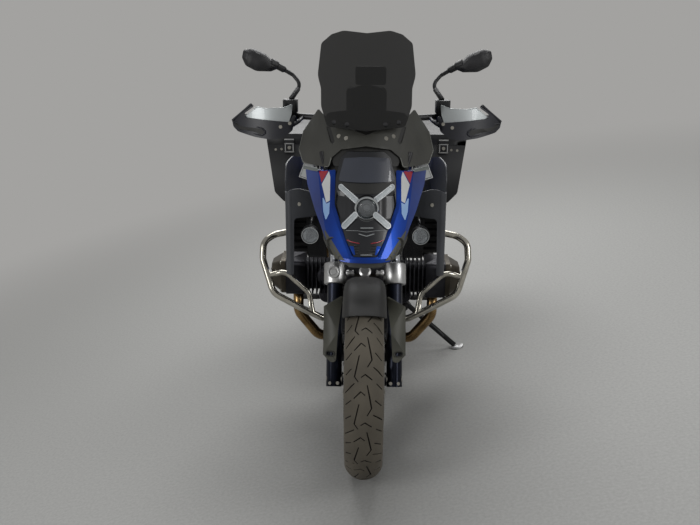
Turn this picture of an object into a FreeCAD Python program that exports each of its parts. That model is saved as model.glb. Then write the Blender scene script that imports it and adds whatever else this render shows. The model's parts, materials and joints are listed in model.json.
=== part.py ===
import FreeCAD, Part
import math
import os
import Sketcher
from FreeCAD import Placement, Rotation, Vector

# An adventure motorcycle with a flat-twin engine, shaft drive, wire wheels and two hard
# cases, as it parks: leaning on its side stand. It is modelled upright, with the front
# axle over the origin, the front towards -Y, its left side towards +X and the ground at
# z = 0. The last step leans it over and sets it down on its tyres and its stand.

os.makedirs("parts", exist_ok=True)
doc = FreeCAD.newDocument("adventure_motorcycle")
sheet = doc.addObject("Spreadsheet::Sheet", "Sizes")

# Driving sizes in millimetres and degrees
SIZES = {
    "wheel_base": 1518.0,            # front axle to rear axle
    "rake_angle": 26.2,              # fork legs from the vertical
    "lean_angle": 11.0,              # lean to the left on the side stand
    "steering_offset": 43.0,         # steering axis behind the fork legs
    "seat_gap": 0.3,                 # between pieces that seat on each other
    "running_gap": 0.1,              # radial, shaft in its bore
    "front_tyre_radius": 325.0,
    "front_tyre_width": 120.0,
    "front_crown_radius": 64.0,      # across the tread
    "front_rim_radius": 241.0,       # bead seat
    "front_rim_width": 78.0,
    "rear_tyre_radius": 318.0,
    "rear_tyre_width": 170.0,
    "rear_crown_radius": 95.0,
    "rear_rim_radius": 216.0,
    "rear_rim_width": 116.0,
    "tyre_wall": 9.0,
    "rim_wall": 5.0,
    "rim_flange": 14.0,              # height over the bead seat
    "spoke_radius": 2.2,
    "spoke_pairs": 10.0,             # crossed pairs on each side of a wheel
    "front_disc_radius": 152.0,
    "front_disc_place": 62.0,        # disc's middle from the wheel's middle
    "rear_disc_radius": 138.0,
    "rear_disc_place": 80.0,
    "disc_thickness": 5.0,
    "front_axle_radius": 12.0,
    "front_axle_bore": 8.0,
    "front_axle_half": 126.0,
    "rear_axle_radius": 38.0,
    "rear_axle_bore": 27.0,
    "leg_place": 100.0,              # fork leg's middle from the bike's middle
    "slider_radius": 26.0,
    "slider_foot": 25.0,             # slider below the axle
    "slider_top": 372.0,             # along the leg, from the axle
    "stanchion_radius": 18.5,
    "stanchion_top": 812.0,
    "clamp_radius": 31.0,            # fork clamp's outside
    "clamp_low": 318.0,
    "bridge_low": 350.0,             # fork bridge, along the leg
    "bridge_high": 382.0,
    "ball_pin_radius": 10.0,
    "head_low": 690.0,               # steering head on the steering axis
    "head_high": 782.0,
    "head_radius": 30.0,
    "stem_radius": 12.0,
    "top_bridge_low": 788.0,
    "fender_radius": 339.0,
    "fender_half": 69.0,
    "fender_wall": 3.5,
    "bar_radius": 11.0,
    "grip_radius": 16.5,
    "frame_tube_radius": 17.0,
    "frame_half": 137.0,             # frame tube's middle from the bike's middle
    "rear_tube_radius": 12.0,
    "engine_half": 115.0,
    "cylinder_high": 500.0,          # cylinder's axis over the ground
    "cylinder_reach": 360.0,         # head cover's face from the bike's middle
    "cylinder_stagger": 30.0,        # right cylinder behind the left one
    "panel_wall": 4.0,
    "seat_high": 850.0,
    "crash_bar_radius": 12.5,
    "case_inner": 235.0,             # pannier's inner face from the bike's middle
    "case_outer": 438.0,
    "case_front": 1160.0,
    "case_length": 450.0,
    "case_low": 655.0,
    "case_rim": 912.0,               # where the lid meets the case
    "case_top": 960.0,
    "case_wall": 3.0,
    "hinge_pin_radius": 4.0,
    "stand_pivot_radius": 8.0,
    "swing_pivot_radius": 14.0,
}


class Size:
    """A number that keeps the sheet formula it comes from."""

    def __init__(self, value, text):
        self.value = value
        self.text = text

    def __float__(self):
        return self.value

    def __int__(self):
        return int(self.value)

    def __add__(self, other):
        return Size(self.value + float(other), "(%s + %s)" % (self.text, formula(other)))

    def __radd__(self, other):
        return self + other

    def __sub__(self, other):
        return Size(self.value - float(other), "(%s - %s)" % (self.text, formula(other)))

    def __rsub__(self, other):
        return Size(float(other) - self.value, "(%s - %s)" % (formula(other), self.text))

    def __mul__(self, other):
        return Size(self.value * float(other), "(%s * %s)" % (self.text, formula(other)))

    def __rmul__(self, other):
        return self * other

    def __truediv__(self, other):
        return Size(self.value / float(other), "(%s / %s)" % (self.text, formula(other)))

    def __neg__(self):
        return Size(-self.value, "(0 - %s)" % self.text)


def formula(value):
    return value.text if isinstance(value, Size) else repr(float(value))


def bind(thing, prop, value):
    """Set a property, and tie it to the sheet when its value comes from there."""
    if isinstance(value, Size):
        thing.setExpression(prop, value.text)


class Sheet:
    pass


S = Sheet()
for row, (alias, value) in enumerate(SIZES.items(), start=1):
    sheet.set("A%d" % row, alias.replace("_", " "))
    sheet.set("B%d" % row, str(value))
    sheet.setAlias("B%d" % row, alias)
    setattr(S, alias, Size(value, "Sizes." + alias))
doc.recompute()

X, Y, Z = Vector(1, 0, 0), Vector(0, 1, 0), Vector(0, 0, 1)
lean = math.radians(S.lean_angle)
front_axle = Vector(0, 0, S.front_tyre_radius.value - S.front_crown_radius.value
                    + S.front_crown_radius.value / math.cos(lean))
rear_axle = Vector(0, S.wheel_base, S.rear_tyre_radius.value - S.rear_crown_radius.value
                   + S.rear_crown_radius.value / math.cos(lean))
# The fork's own frame: z runs up the legs from the axle, y to the rear
fork = Placement(front_axle, Rotation(X, -S.rake_angle.value))
nodes = {}


# Sketches and PartDesign features

def rounded_loop(points):
    """Edges of a closed loop. A point is (a, b), (a, b, corner radius), or
    (middle a, middle b, a, b), an arc through its middle."""
    count = len(points)
    ends = [(float(p[-2]), float(p[-1])) if len(p) == 4 else (float(p[0]), float(p[1]))
            for p in points]
    starts = list(ends)                     # where the edge that leaves a point starts
    finishes = list(ends)                   # where the edge that reaches it ends
    arcs = {}
    for i, point in enumerate(points):
        if len(point) != 3 or not float(point[2]):
            continue
        here = Vector(*ends[i], 0)
        before = Vector(*ends[i - 1], 0) - here
        after = Vector(*ends[(i + 1) % count], 0) - here
        turn = before.getAngle(after)
        if turn > math.pi - 1e-4:
            continue
        set_back = float(point[2]) / math.tan(turn / 2)
        a = here + before.normalize() * set_back
        b = here + after.normalize() * set_back
        middle = (before + after).normalize()
        middle = here + middle * (float(point[2]) / math.sin(turn / 2) - float(point[2]))
        finishes[i], starts[i] = (a.x, a.y), (b.x, b.y)
        arcs[i] = Part.Arc(a, middle, b)
    edges = []
    for i, point in enumerate(points):
        a, b = Vector(*starts[i - 1], 0), Vector(*finishes[i], 0)
        if len(point) == 4:
            edges.append(Part.Arc(a, Vector(float(point[0]), float(point[1]), 0), b))
        else:
            edges.append(Part.LineSegment(a, b))
        if i in arcs:
            edges.append(arcs[i])
    return edges


def sketch_loops(sketch, loops):
    """Draw closed loops. Corners that come from the sheet are tied to it."""
    for loop in loops:
        if loop[0] == "circle":
            _, a, b, radius = loop
            circle = Part.Circle(Vector(a, b, 0), Z, float(radius))
            i = sketch.addGeometry(circle)
            sketch.addConstraint(Sketcher.Constraint("Radius", i, float(radius)))
            if isinstance(radius, Size):
                sketch.setExpression("Constraints[%d]" % (sketch.ConstraintCount - 1),
                                     radius.text)
            continue
        edges = rounded_loop(loop)
        first = sketch.GeometryCount
        sketch.addGeometry(edges)
        last = first + len(edges) - 1
        if any(len(point) != 2 for point in loop):
            sketch.addConstraint([Sketcher.Constraint("Block", i)
                                  for i in range(first, last + 1)])
            continue
        pairs = [(i, i + 1 if i < last else first) for i in range(first, last + 1)]
        sketch.addConstraint([Sketcher.Constraint("Coincident", a, 2, b, 1)
                              for a, b in pairs])
        for i, point in enumerate(loop):
            for kind, value in (("DistanceX", point[0]), ("DistanceY", point[1])):
                if isinstance(value, Size) and abs(value.value) > 1e-6:
                    sketch.addConstraint(
                        Sketcher.Constraint(kind, -1, 1, first + i, 2, value.value))
                    sketch.setExpression(
                        "Constraints[%d]" % (sketch.ConstraintCount - 1), value.text)


def new_body(label):
    body = doc.addObject("PartDesign::Body", label)
    body.Label = label
    return body


def new_sketch(body, role, loops, offset=0.0):
    """A sketch on an origin plane: 'XY', 'XZ' or 'YZ', moved along +Z, +Y or +X."""
    sketch = body.newObject("Sketcher::SketchObject", body.Name + "_sketch")
    plane = [f for f in body.Origin.OriginFeatures if f.Role == role + "_Plane"][0]
    sketch.AttachmentSupport = (plane, [""])
    sketch.MapMode = "FlatFace"
    shift = -1 * offset if role == "XZ" else offset
    sketch.AttachmentOffset = Placement(Vector(0, 0, float(shift)), Rotation())
    bind(sketch, ".AttachmentOffset.Base.z", shift)
    sketch_loops(sketch, loops)
    return sketch


def pad(body, role, loops, start, end):
    """Material between two places along the sketch plane's axis."""
    feature = body.newObject("PartDesign::Pad", body.Name + "_pad")
    feature.Profile = new_sketch(body, role, loops, start)
    feature.Length = float(end) - float(start)
    bind(feature, "Length", end - start)
    feature.Reversed = role == "XZ"
    return feature


def pocket(body, role, loops, start, end):
    feature = body.newObject("PartDesign::Pocket", body.Name + "_pocket")
    feature.Profile = new_sketch(body, role, loops, start)
    feature.Length = float(end) - float(start)
    bind(feature, "Length", end - start)
    feature.Reversed = role != "XZ"
    return feature


def revolve(body, role, loops, axis="H_Axis", angle=360.0):
    feature = body.newObject("PartDesign::Revolution", body.Name + "_turn")
    sketch = new_sketch(body, role, loops)
    feature.Profile = sketch
    feature.ReferenceAxis = (sketch, [axis])
    feature.Angle = float(angle)
    bind(feature, "Angle", angle)
    return feature


def polar(body, feature, sketch, axis, count):
    pattern = body.newObject("PartDesign::PolarPattern", body.Name + "_pattern")
    pattern.Originals = [feature]
    pattern.Axis = (sketch, [axis])
    pattern.Angle = 360
    pattern.Occurrences = int(count)
    body.Tip = pattern
    return pattern


# Shapes that no sketched feature gives

def flat(points, axis, at=0.0):
    """A face across an axis: points are (y, z) for X, (x, z) for Y, (x, y) for Z."""
    wire = Part.Wire([edge.toShape() for edge in rounded_loop(points)])
    face = Part.Face(wire)
    if axis == "X":
        face.Placement = Placement(Vector(at, 0, 0), Rotation(Y, Z, X, "ZXY"))
    elif axis == "Y":
        face.Placement = Placement(Vector(0, at, 0), Rotation(X, Z, -Y, "ZXY"))
    else:
        face.Placement = Placement(Vector(0, 0, at), Rotation())
    return face


def prism(points, axis, start, end):
    along = {"X": X, "Y": Y, "Z": Z}[axis]
    return flat(points, axis, start).extrude(along * (float(end) - float(start)))


def rod(start, end, radius, bore=0.0):
    start, end = Vector(*start), Vector(*end)
    solid = Part.makeCylinder(float(radius), (end - start).Length, start, end - start)
    if float(bore):
        solid = solid.cut(Part.makeCylinder(float(bore), (end - start).Length, start,
                                            end - start))
    return solid


def route(points, bend):
    """Straight runs joined by tangent arcs of one bend radius."""
    points = [Vector(*p) for p in points]
    edges, at = [], points[0]
    for i in range(1, len(points) - 1):
        back = points[i - 1] - points[i]
        on = points[i + 1] - points[i]
        turn = math.pi - back.getAngle(on)
        if turn < 1e-3:
            continue
        reach = min(bend * math.tan(turn / 2), 0.45 * min(back.Length, on.Length))
        radius = reach / math.tan(turn / 2)
        back.normalize()
        on.normalize()
        a, b = points[i] + back * reach, points[i] + on * reach
        way = (back + on).normalize()
        middle = points[i] + way * (radius / math.cos(turn / 2) - radius)
        edges += [Part.LineSegment(at, a).toShape(), Part.Arc(a, middle, b).toShape()]
        at = b
    edges.append(Part.LineSegment(at, points[-1]).toShape())
    return Part.Wire(edges)


def tube(points, radius, bend=60.0, bore=0.0):
    """A bent tube along a route."""
    path = route(points, bend)
    along = Vector(*points[1]) - Vector(*points[0])
    solids = []
    for size in [float(radius)] + ([float(bore)] if float(bore) else []):
        ring = Part.Wire([Part.Circle(Vector(*points[0]), along, size).toShape()])
        solids.append(path.makePipeShell([ring], True, True))
    solid = Part.Solid(solids[0]) if solids[0].ShapeType != "Solid" else solids[0]
    return solid.cut(solids[1]) if len(solids) > 1 else solid


def mirrored(shape):
    return shape.mirror(Vector(0, 0, 0), X)


def fused(shapes):
    whole = shapes[0].multiFuse(shapes[1:]) if len(shapes) > 1 else shapes[0]
    whole = whole.removeSplitter()
    return whole.Solids[0] if len(whole.Solids) == 1 else whole


def both(half):
    """A closed outline from its half at x >= 0, listed from one end on the middle line
    to the other."""
    other = [(-1 * p[0],) + tuple(p[1:]) for p in reversed(half) if float(p[0]) > 0]
    return list(half) + other


def in_fork(shape):
    placed = shape.copy()
    placed.Placement = fork.multiply(shape.Placement)
    return placed


def keep(label, thing):
    """A finished node: a document object, or a shape that gets one."""
    if isinstance(thing, list):
        thing = Part.makeCompound(thing)
    if isinstance(thing, Part.Shape):
        thing = thing.Solids[0] if len(thing.Solids) == 1 else thing
        feature = doc.addObject("Part::Feature", label)
        feature.Shape = thing
        thing = feature
    thing.Label = label
    nodes[label] = thing
    return thing


def keep_pair(label, body):
    """A body and its mirror image on the other side of the bike, as one node."""
    other = doc.addObject("Part::Mirroring", label + "_mirror")
    other.Source = body
    other.Normal = X
    body.Label = label + "_one"
    pair = doc.addObject("Part::Compound", label)
    pair.Links = [body, other]
    return keep(label, pair)


# Wheels

def place_wheel(body, axle):
    body.Placement = Placement(axle, Rotation())


def wheel(end, axle, tyre_radius, tyre_width, crown, rim_radius, rim_width):
    """Tyre, rim and wire spokes, turned about the axle along X."""
    half, seat = tyre_width / 2, rim_width / 2
    rise = math.sqrt(crown.value ** 2 - half.value ** 2)
    shoulder = float(tyre_radius - crown) + rise
    wall = S.tyre_wall.value
    bead = float(rim_radius) + S.seat_gap.value
    toe = float(seat) - S.seat_gap.value
    tyre = new_body(end + "_tyre")
    lip = float(rim_radius + S.rim_flange) + 1
    bulge = (2 * float(half) + toe) / 3 + 3
    revolve(tyre, "XY", [[
        (-toe, bead), (-toe, lip),
        (-bulge, (lip + shoulder) / 2, -float(half), shoulder),
        (0, float(tyre_radius), float(half), shoulder),
        (bulge, (lip + shoulder) / 2, toe, lip), (toe, bead),
        (toe - wall, bead), (toe - wall, lip + 3),
        (bulge - wall, (lip + shoulder) / 2, float(half) - wall, shoulder - wall / 2),
        (0, float(tyre_radius) - 1.2 * wall, wall - float(half), shoulder - wall / 2),
        (wall - bulge, (lip + shoulder) / 2, wall - toe, lip + 3), (wall - toe, bead)]])
    place_wheel(tyre, axle)
    keep(end + "_tyre", tyre)
    rim = new_body(end + "_rim")
    lip, thick = float(seat) + 4, S.rim_wall.value
    top, floor = float(rim_radius), float(rim_radius) - 14
    revolve(rim, "XY", [[
        (-lip, top + S.rim_flange.value), (-float(seat), top + S.rim_flange.value),
        (-float(seat), top), (-20, top), (-14, floor), (14, floor), (20, top),
        (float(seat), top), (float(seat), top + S.rim_flange.value),
        (lip, top + S.rim_flange.value), (lip, top - thick), (24, top - thick),
        (17, floor - thick), (-17, floor - thick), (-24, top - thick), (-lip, top - thick)]])
    place_wheel(rim, axle)
    keep(end + "_rim", rim)
    return lip - 3, top - thick


def wire_spokes(axle, hub, flange_place, flange_radius, rim_place, rim_radius):
    """The hub with its crossed spokes, each from its flange to the rim's edge."""
    spokes = []
    pairs = int(S.spoke_pairs)
    lead = math.radians(38)
    for side in (-1, 1):
        for pair in range(pairs):
            angle = 2 * math.pi * (pair + (0.5 if side > 0 else 0)) / pairs
            for hand, inset in ((-1, 0.0), (1, 2.5 * S.spoke_radius.value)):
                a, b = angle, angle + hand * lead
                low = Vector(side * (flange_place - inset), flange_radius * math.cos(a),
                             flange_radius * math.sin(a))
                high = Vector(side * (rim_place - inset), rim_radius * math.cos(b),
                              rim_radius * math.sin(b))
                spokes.append(rod(low, high, S.spoke_radius))
    whole = fused([hub] + spokes)
    whole.Placement = Placement(axle, Rotation())
    return whole


def turned(points):
    """A solid turned about the X axis from (x, radius) points."""
    wire = Part.Wire([edge.toShape() for edge in rounded_loop(points)])
    return Part.Face(wire).revolve(Vector(0, 0, 0), X, 360)


def disc_body(label, axle, radius, places, hub_radius):
    """Brake discs with ten windows between their arms."""
    body = new_body(label + "_disc")
    place = places[0]
    start, end = place - S.disc_thickness / 2, place + S.disc_thickness / 2
    sketch_loop = [("circle", 0, 0, radius), ("circle", 0, 0, hub_radius)]
    first = pad(body, "YZ", [sketch_loop[0], sketch_loop[1]], start, end)
    inner, outer = float(hub_radius) + 14, float(radius) - 34
    window = pocket(body, "YZ", [[(inner, -9, 4), (outer, -16, 5), (outer, 16, 5),
                                  (inner, 9, 4)]], start - 1, end + 1)
    doc.recompute()
    polar(body, window, first.Profile[0], "N_Axis", 10)
    place_wheel(body, axle)
    if len(places) == 1:
        return keep(label, body)
    return keep_pair(label, body)


def seated(shape, *labels):
    """A shape cut back to the faces of the nodes that it seats on."""
    doc.recompute()
    for label in labels:
        shape = shape.cut(nodes[label].Shape)
    return max(shape.Solids, key=lambda solid: solid.Volume)


front_edge = wheel("front", front_axle, S.front_tyre_radius, S.front_tyre_width,
                   S.front_crown_radius, S.front_rim_radius, S.front_rim_width)
rear_edge = wheel("rear", rear_axle, S.rear_tyre_radius, S.rear_tyre_width,
                  S.rear_crown_radius, S.rear_rim_radius, S.rear_rim_width)
front_bore = float(S.front_axle_radius + S.running_gap)
disc_in = float(S.front_disc_place - S.disc_thickness / 2)
hub_end = float(S.leg_place - S.slider_radius) - 0.5
front_hub = turned([
    (-hub_end, front_bore), (hub_end, front_bore), (hub_end, 22), (disc_in, 22),
    (disc_in, 60), (disc_in - 5, 60), (36, 30), (34, 44), (27, 44), (22, 24),
    (-22, 24), (-27, 44), (-34, 44), (-36, 30), (5 - disc_in, 60), (-disc_in, 60),
    (-disc_in, 22), (-hub_end, 22)])
keep("front_hub", seated(wire_spokes(front_axle, front_hub, 31, 41, *front_edge), "front_rim"))
disc_body("front_discs", front_axle, S.front_disc_radius,
          (S.front_disc_place, -S.front_disc_place), 22.2)
rear_hub_out = float(S.rear_disc_place + S.disc_thickness / 2) + 5
rear_disc_in = float(S.rear_disc_place - S.disc_thickness / 2)
rear_shaft_end = 205.0
rear_bore = float(S.rear_axle_bore)
rear_hub = turned([
    (-78, rear_bore), (rear_shaft_end, rear_bore), (rear_shaft_end, 36),
    (rear_shaft_end - 4, 38), (rear_disc_in, 38), (rear_disc_in, 62),
    (rear_disc_in - 5, 62), (54, 44), (50, 60), (43, 60), (38, 40), (-38, 40),
    (-43, 60), (-50, 60), (-54, 42), (-70, 42), (-78, 36)])
keep("rear_hub", seated(wire_spokes(rear_axle, rear_hub, 47, 57, *rear_edge), "rear_rim"))
disc_body("rear_disc", rear_axle, S.rear_disc_radius, (S.rear_disc_place,), 38.2)


# Steering: fork, bridges, handlebar and what rides on them. Leg coordinates are
# (x, y, t): y to the rear of the legs, t up along them from the axle.

def axle_bore(body):
    pocket(body, "YZ", [("circle", 0, 0, S.front_axle_radius + S.running_gap)],
           S.leg_place - 2 * S.slider_radius, S.leg_place + 2 * S.slider_radius)


slider = new_body("fork_sliders")
pad(slider, "XY", [("circle", S.leg_place.value, 0, S.slider_radius)], -1 * S.slider_foot,
    S.slider_top)
pad(slider, "YZ", [[(12, 72), (68, 84), (68, 132), (12, 128)]], S.front_disc_place + 20.3,
    S.leg_place - 6)
pocket(slider, "XY", [("circle", S.leg_place.value, 0, S.stanchion_radius + S.running_gap)],
       120, S.slider_top + 1)
axle_bore(slider)
slider.Placement = fork
keep_pair("fork_sliders", slider)

stanchion = new_body("fork_stanchions")
pad(stanchion, "XY", [("circle", S.leg_place.value, 0, S.stanchion_radius)],
    125, S.stanchion_top)
stanchion.Placement = fork
keep_pair("fork_stanchions", stanchion)

offset = S.steering_offset.value
bridge = new_body("fork_bridge")
clamp_bore = S.slider_radius + S.running_gap
for side in (-1, 1):
    pad(bridge, "XY", [("circle", side * S.leg_place.value, 0, S.clamp_radius)],
        S.clamp_low, S.bridge_high)
pad(bridge, "XY", [[(-80, -22, 12), (80, -22, 12), (60, 30, 20), (26, 66, 14),
                    (-26, 66, 14), (-60, 30, 20)]], S.bridge_low, S.bridge_high)
for side in (-1, 1):
    pocket(bridge, "XY", [("circle", side * S.leg_place.value, 0, clamp_bore)],
           S.clamp_low - 1, S.slider_top + 0.2)
    pocket(bridge, "XY", [("circle", side * S.leg_place.value, 0,
                           S.stanchion_radius + S.running_gap)],
           S.clamp_low - 1, S.bridge_high + 1)
pad(bridge, "XY", [("circle", 0, offset, S.ball_pin_radius)], S.bridge_high - 1,
    S.bridge_high + 46)
bridge.Placement = fork
keep("fork_bridge", bridge)

top_high = S.stanchion_top - 2
top_bridge = new_body("top_bridge")
pad(top_bridge, "XY", [[(-132, -14, 14), (-104, -32, 20), (0, 4, 60), (104, -32, 20),
                        (132, -14, 14), (126, 26, 18), (60, 62, 30), (0, 78, 30),
                        (-60, 62, 30), (-126, 26, 18)]], S.top_bridge_low, top_high)
for side in (-1, 1):
    pocket(top_bridge, "XY", [("circle", side * S.leg_place.value, 0,
                               S.stanchion_radius + S.running_gap)],
           S.top_bridge_low - 1, top_high + 1)
    pad(top_bridge, "XY", [[(side * 45 - 12, offset - 16, 5), (side * 45 + 12, offset - 16, 5),
                            (side * 45 + 12, offset + 16, 5), (side * 45 - 12, offset + 16, 5)]],
        top_high - 1, top_high + 78)
pad(top_bridge, "XY", [("circle", 0, offset, S.stem_radius)], S.head_low - 4,
    S.top_bridge_low + 1)
top_bridge.Placement = fork
bar_clamp = fork.multVec(Vector(0, offset, float(top_high) + 57))
bar_way = [(0, bar_clamp.y, bar_clamp.z), (86, bar_clamp.y, bar_clamp.z),
           (150, bar_clamp.y + 14, bar_clamp.z + 44), (262, bar_clamp.y + 52, bar_clamp.z + 44),
           (442, bar_clamp.y + 128, bar_clamp.z + 24)]
half_bar = tube(bar_way, S.bar_radius, 70)
bar_clamp_bore = rod((-60, bar_clamp.y, bar_clamp.z), (60, bar_clamp.y, bar_clamp.z),
                     S.bar_radius + S.running_gap)
clamped = doc.addObject("Part::Feature", "handlebar_seat")
clamped.Shape = bar_clamp_bore
top_cut = doc.addObject("Part::Cut", "top_bridge_with_seat")
top_cut.Base, top_cut.Tool = top_bridge, clamped
top_bridge.Label = "top_bridge_plate"
keep("top_bridge", top_cut)
keep("handlebar", fused([half_bar, mirrored(half_bar)]))

# Grips with their switch boxes, levers and reservoirs
bar_bend, bar_end = Vector(*bar_way[3]), Vector(*bar_way[4])
bar_run = (bar_end - bar_bend).normalize()
grip_from = bar_end - bar_run * 124
grip = rod(grip_from, bar_end - bar_run * 2, S.grip_radius, S.bar_radius + S.running_gap)
switch_from = grip_from - bar_run * 52
switch = rod(switch_from, grip_from - bar_run * 0.5, 24, S.bar_radius + S.running_gap)
lever_pivot = switch_from + Vector(-8, -34, 6)
lever = tube([lever_pivot, lever_pivot + Vector(50, -22, 0), lever_pivot + Vector(150, 22, -8)],
             6, 40)
perch_in, perch_out = lever_pivot.x - 26, lever_pivot.x + 14
perch = prism([(perch_in, lever_pivot.y - 8, 6), (perch_out, lever_pivot.y - 8, 6),
               (perch_out, switch_from.y + 14, 6), (perch_in, switch_from.y + 6, 6)],
              "Z", switch_from.z - 14, switch_from.z + 20)
perch = perch.cut(rod(bar_bend - bar_run * 60, bar_end, S.bar_radius + S.running_gap))
reservoir_in, reservoir_out = lever_pivot.x - 30, lever_pivot.x + 22
reservoir = prism([(reservoir_in, lever_pivot.y - 10, 10), (reservoir_out, lever_pivot.y - 10, 10),
                   (reservoir_out, lever_pivot.y + 36, 10), (reservoir_in, lever_pivot.y + 36, 10)],
                  "Z", switch_from.z + 19, switch_from.z + 62)
controls = seated(fused([perch, reservoir, lever, switch]), "handlebar")
keep("grips", [grip, mirrored(grip)])
keep("bar_controls", [controls, mirrored(controls)])

# Hand guards: a dark lower shield with its outer bar, and an upper panel behind its edge
guard_out = 482.0


def guard_band(back, thick, low, high):
    """A bowed band in front of the grip, that leans back as it rises."""
    ends = [Vector(240, bar_clamp.y + 6 + back, low), Vector(386, bar_clamp.y + 14 + back, low),
            Vector(guard_out + 4, bar_end.y - 46 + back, low)]
    rear = [end + Vector(0, thick, 0) for end in reversed(ends)]
    band = Part.Wire([Part.Arc(*ends).toShape(),
                      Part.LineSegment(ends[2], rear[0]).toShape(),
                      Part.Arc(*rear).toShape(),
                      Part.LineSegment(rear[2], ends[0]).toShape()])
    return Part.Face(band).extrude(Vector(0, 0.15 * (high - low), high - low))


lower_outline = [(guard_out, 1112, 8), (476, 1090, 12), (458, 1076, 16), (391, 1062, 40),
                 (337, 1056, 20), (292, 1062, 20), (259, 1086, 14), (247, 1136, 6),
                 (256, 1140, 4), (270, 1116, 6), (434, 1128, 8), (452, 1126, 8),
                 (393, 1168, 6), (407, 1178, 7)]
upper_outline = [(438, 1124, 6), (385, 1167, 8), (350, 1162, 60), (292, 1165, 20),
                 (258, 1178, 5), (262, 1142, 8), (274, 1108, 4)]
shield = guard_band(-26, 5, 1040, 1190).common(prism(lower_outline, "Y", 300, 700))
upper = guard_band(-26 + 5 + S.seat_gap.value, 3, 1040, 1190).common(
    prism(upper_outline, "Y", 300, 700))
end_plug = rod(bar_end + bar_run * 0.3, bar_end + bar_run * 26, 17)
arm = tube([bar_end + bar_run * 16, bar_end + bar_run * 16 + Vector(6, -22, -4),
            Vector(guard_out - 14, bar_end.y - 66, 1098)], 7, 20)
inner_stay = tube([Vector(222, bar_clamp.y + 36, bar_clamp.z + 44),
                   Vector(238, bar_clamp.y - 4, bar_clamp.z + 30),
                   Vector(284, bar_clamp.y - 10, bar_clamp.z + 4)], 6, 20)
guard = seated(fused([shield, end_plug, arm, inner_stay]), "handlebar", "grips", "bar_controls")
upper = seated(upper.cut(guard), "handlebar", "grips", "bar_controls")
keep("hand_guards", [guard, mirrored(guard), upper, mirrored(upper)])

# Mirrors on their stems: a flat glass side to the rear and a domed back to the front
mirror_outline = [(442, 1330, 14), (436, 1356, 10), (404, 1361, 24), (360, 1343, 50),
                  (310, 1293, 7), (340, 1281, 12), (392, 1282, 40), (430, 1302, 20)]
mirror_rings = []
for mirror_y, share in ((512, 0.97), (508, 1.0), (498, 0.98), (486, 0.7)):
    ring = [(380 + (a - 380) * share, 1318 + (b - 1318) * share, r * share)
            for a, b, r in mirror_outline]
    mirror_rings.append(flat(ring, "Y", mirror_y).OuterWire)
mirror_head = Part.makeLoft(mirror_rings, True, True)
stem_foot = lever_pivot + Vector(4, 14, 0)
stem_start = Vector(stem_foot.x - 10, stem_foot.y + 6, switch_from.z + 62.3)
stem = tube([stem_start, (234, 508, 1236), (266, 520, 1272), (330, 519, 1306)], 6.5, 60)
stem_base = rod(stem_start, stem_start + (Vector(234, 508, 1236) - stem_start) * 0.7, 9)
mirror = seated(fused([mirror_head, stem, stem_base, rod((330, 508, 1306), (330, 526, 1306), 12)]),
                "bar_controls")
keep("mirrors", [mirror, mirrored(mirror)])

# Front fender over the tyre, with the lugs that the fork legs hold
fender = new_body("front_fender")
fin, fout, fh = S.fender_radius - S.fender_wall, S.fender_radius, S.fender_half
fender_angle = 100.0
revolve(fender, "XY", [[
    (-1 * fh, fout - 39), (-1 * fh, fout - 15), (-1 * fh + 17, fout), (fh - 17, fout),
    (fh, fout - 15), (fh, fout - 39), (fh - S.fender_wall, fout - 39),
    (fh - S.fender_wall, fout - 16), (fh - 18, fin), (-1 * fh + 18, fin),
    (-1 * fh + S.fender_wall, fout - 16), (-1 * fh + S.fender_wall, fout - 39)]],
    angle=fender_angle)
fender_front = 58.7
fender.Placement = Placement(front_axle, Rotation(X, 180 - fender_front - fender_angle))
fender.Label = "front_fender_shell"
lug = in_fork(rod((float(fh) - 2, 0, 306), (float(S.leg_place) - 8, 0, 306), 9).cut(
    rod((S.leg_place, 0, 250), (S.leg_place, 0, 360), S.slider_radius + S.seat_gap)))
fender_cut = prism(both([(0, -30), (S.fender_half + 1, -30, 34), (S.fender_half + 1, 700),
                         (0, 700)]), "Z", -400, 400)
fender_cut.Placement = Placement(front_axle, Rotation(X, 90 - fender_front)).multiply(
    Placement(Vector(0, 31, 0), Rotation()))
lugs = doc.addObject("Part::Feature", "front_fender_lugs")
lugs.Shape = Part.makeCompound([lug, mirrored(lug)])
corners = doc.addObject("Part::Feature", "front_fender_outline")
corners.Shape = fender_cut
fender_trim = doc.addObject("Part::Common", "front_fender_trimmed")
fender_trim.Base, fender_trim.Tool = fender, corners
fender_whole = doc.addObject("Part::Fuse", "front_fender_whole")
fender_whole.Base, fender_whole.Tool = fender_trim, lugs
keep("front_fender", fender_whole)

# Covers on the front of the fork legs, wide at the top, with an oval hole at the foot
cover = new_body("fork_guards")
cover_in = S.slider_radius + S.seat_gap
cover_face = [(S.leg_place + 34, 76, 12), (S.leg_place + 36, 238, 6), (S.leg_place - 28, 276, 5),
              (S.leg_place - 12, 155, 30), (S.leg_place - 7, 58, 6), (S.leg_place + 8, 50, 14)]
pad(cover, "XZ", [cover_face], -1 * cover_in - 5, -1 * cover_in)
pad(cover, "XZ", [[(S.leg_place + 31, 78), (S.leg_place + 36, 78), (S.leg_place + 36, 236),
                   (S.leg_place + 31, 236)]], -1 * cover_in - 2, 2)
pocket(cover, "XZ", [[(S.leg_place + 2, 74, 5), (S.leg_place + 24, 76, 5),
                      (S.leg_place + 24, 88, 5), (S.leg_place + 2, 86, 5)]],
       -1 * cover_in - 6, -1 * cover_in + 1)
cover.Placement = fork
keep_pair("fork_guards", cover)

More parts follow.
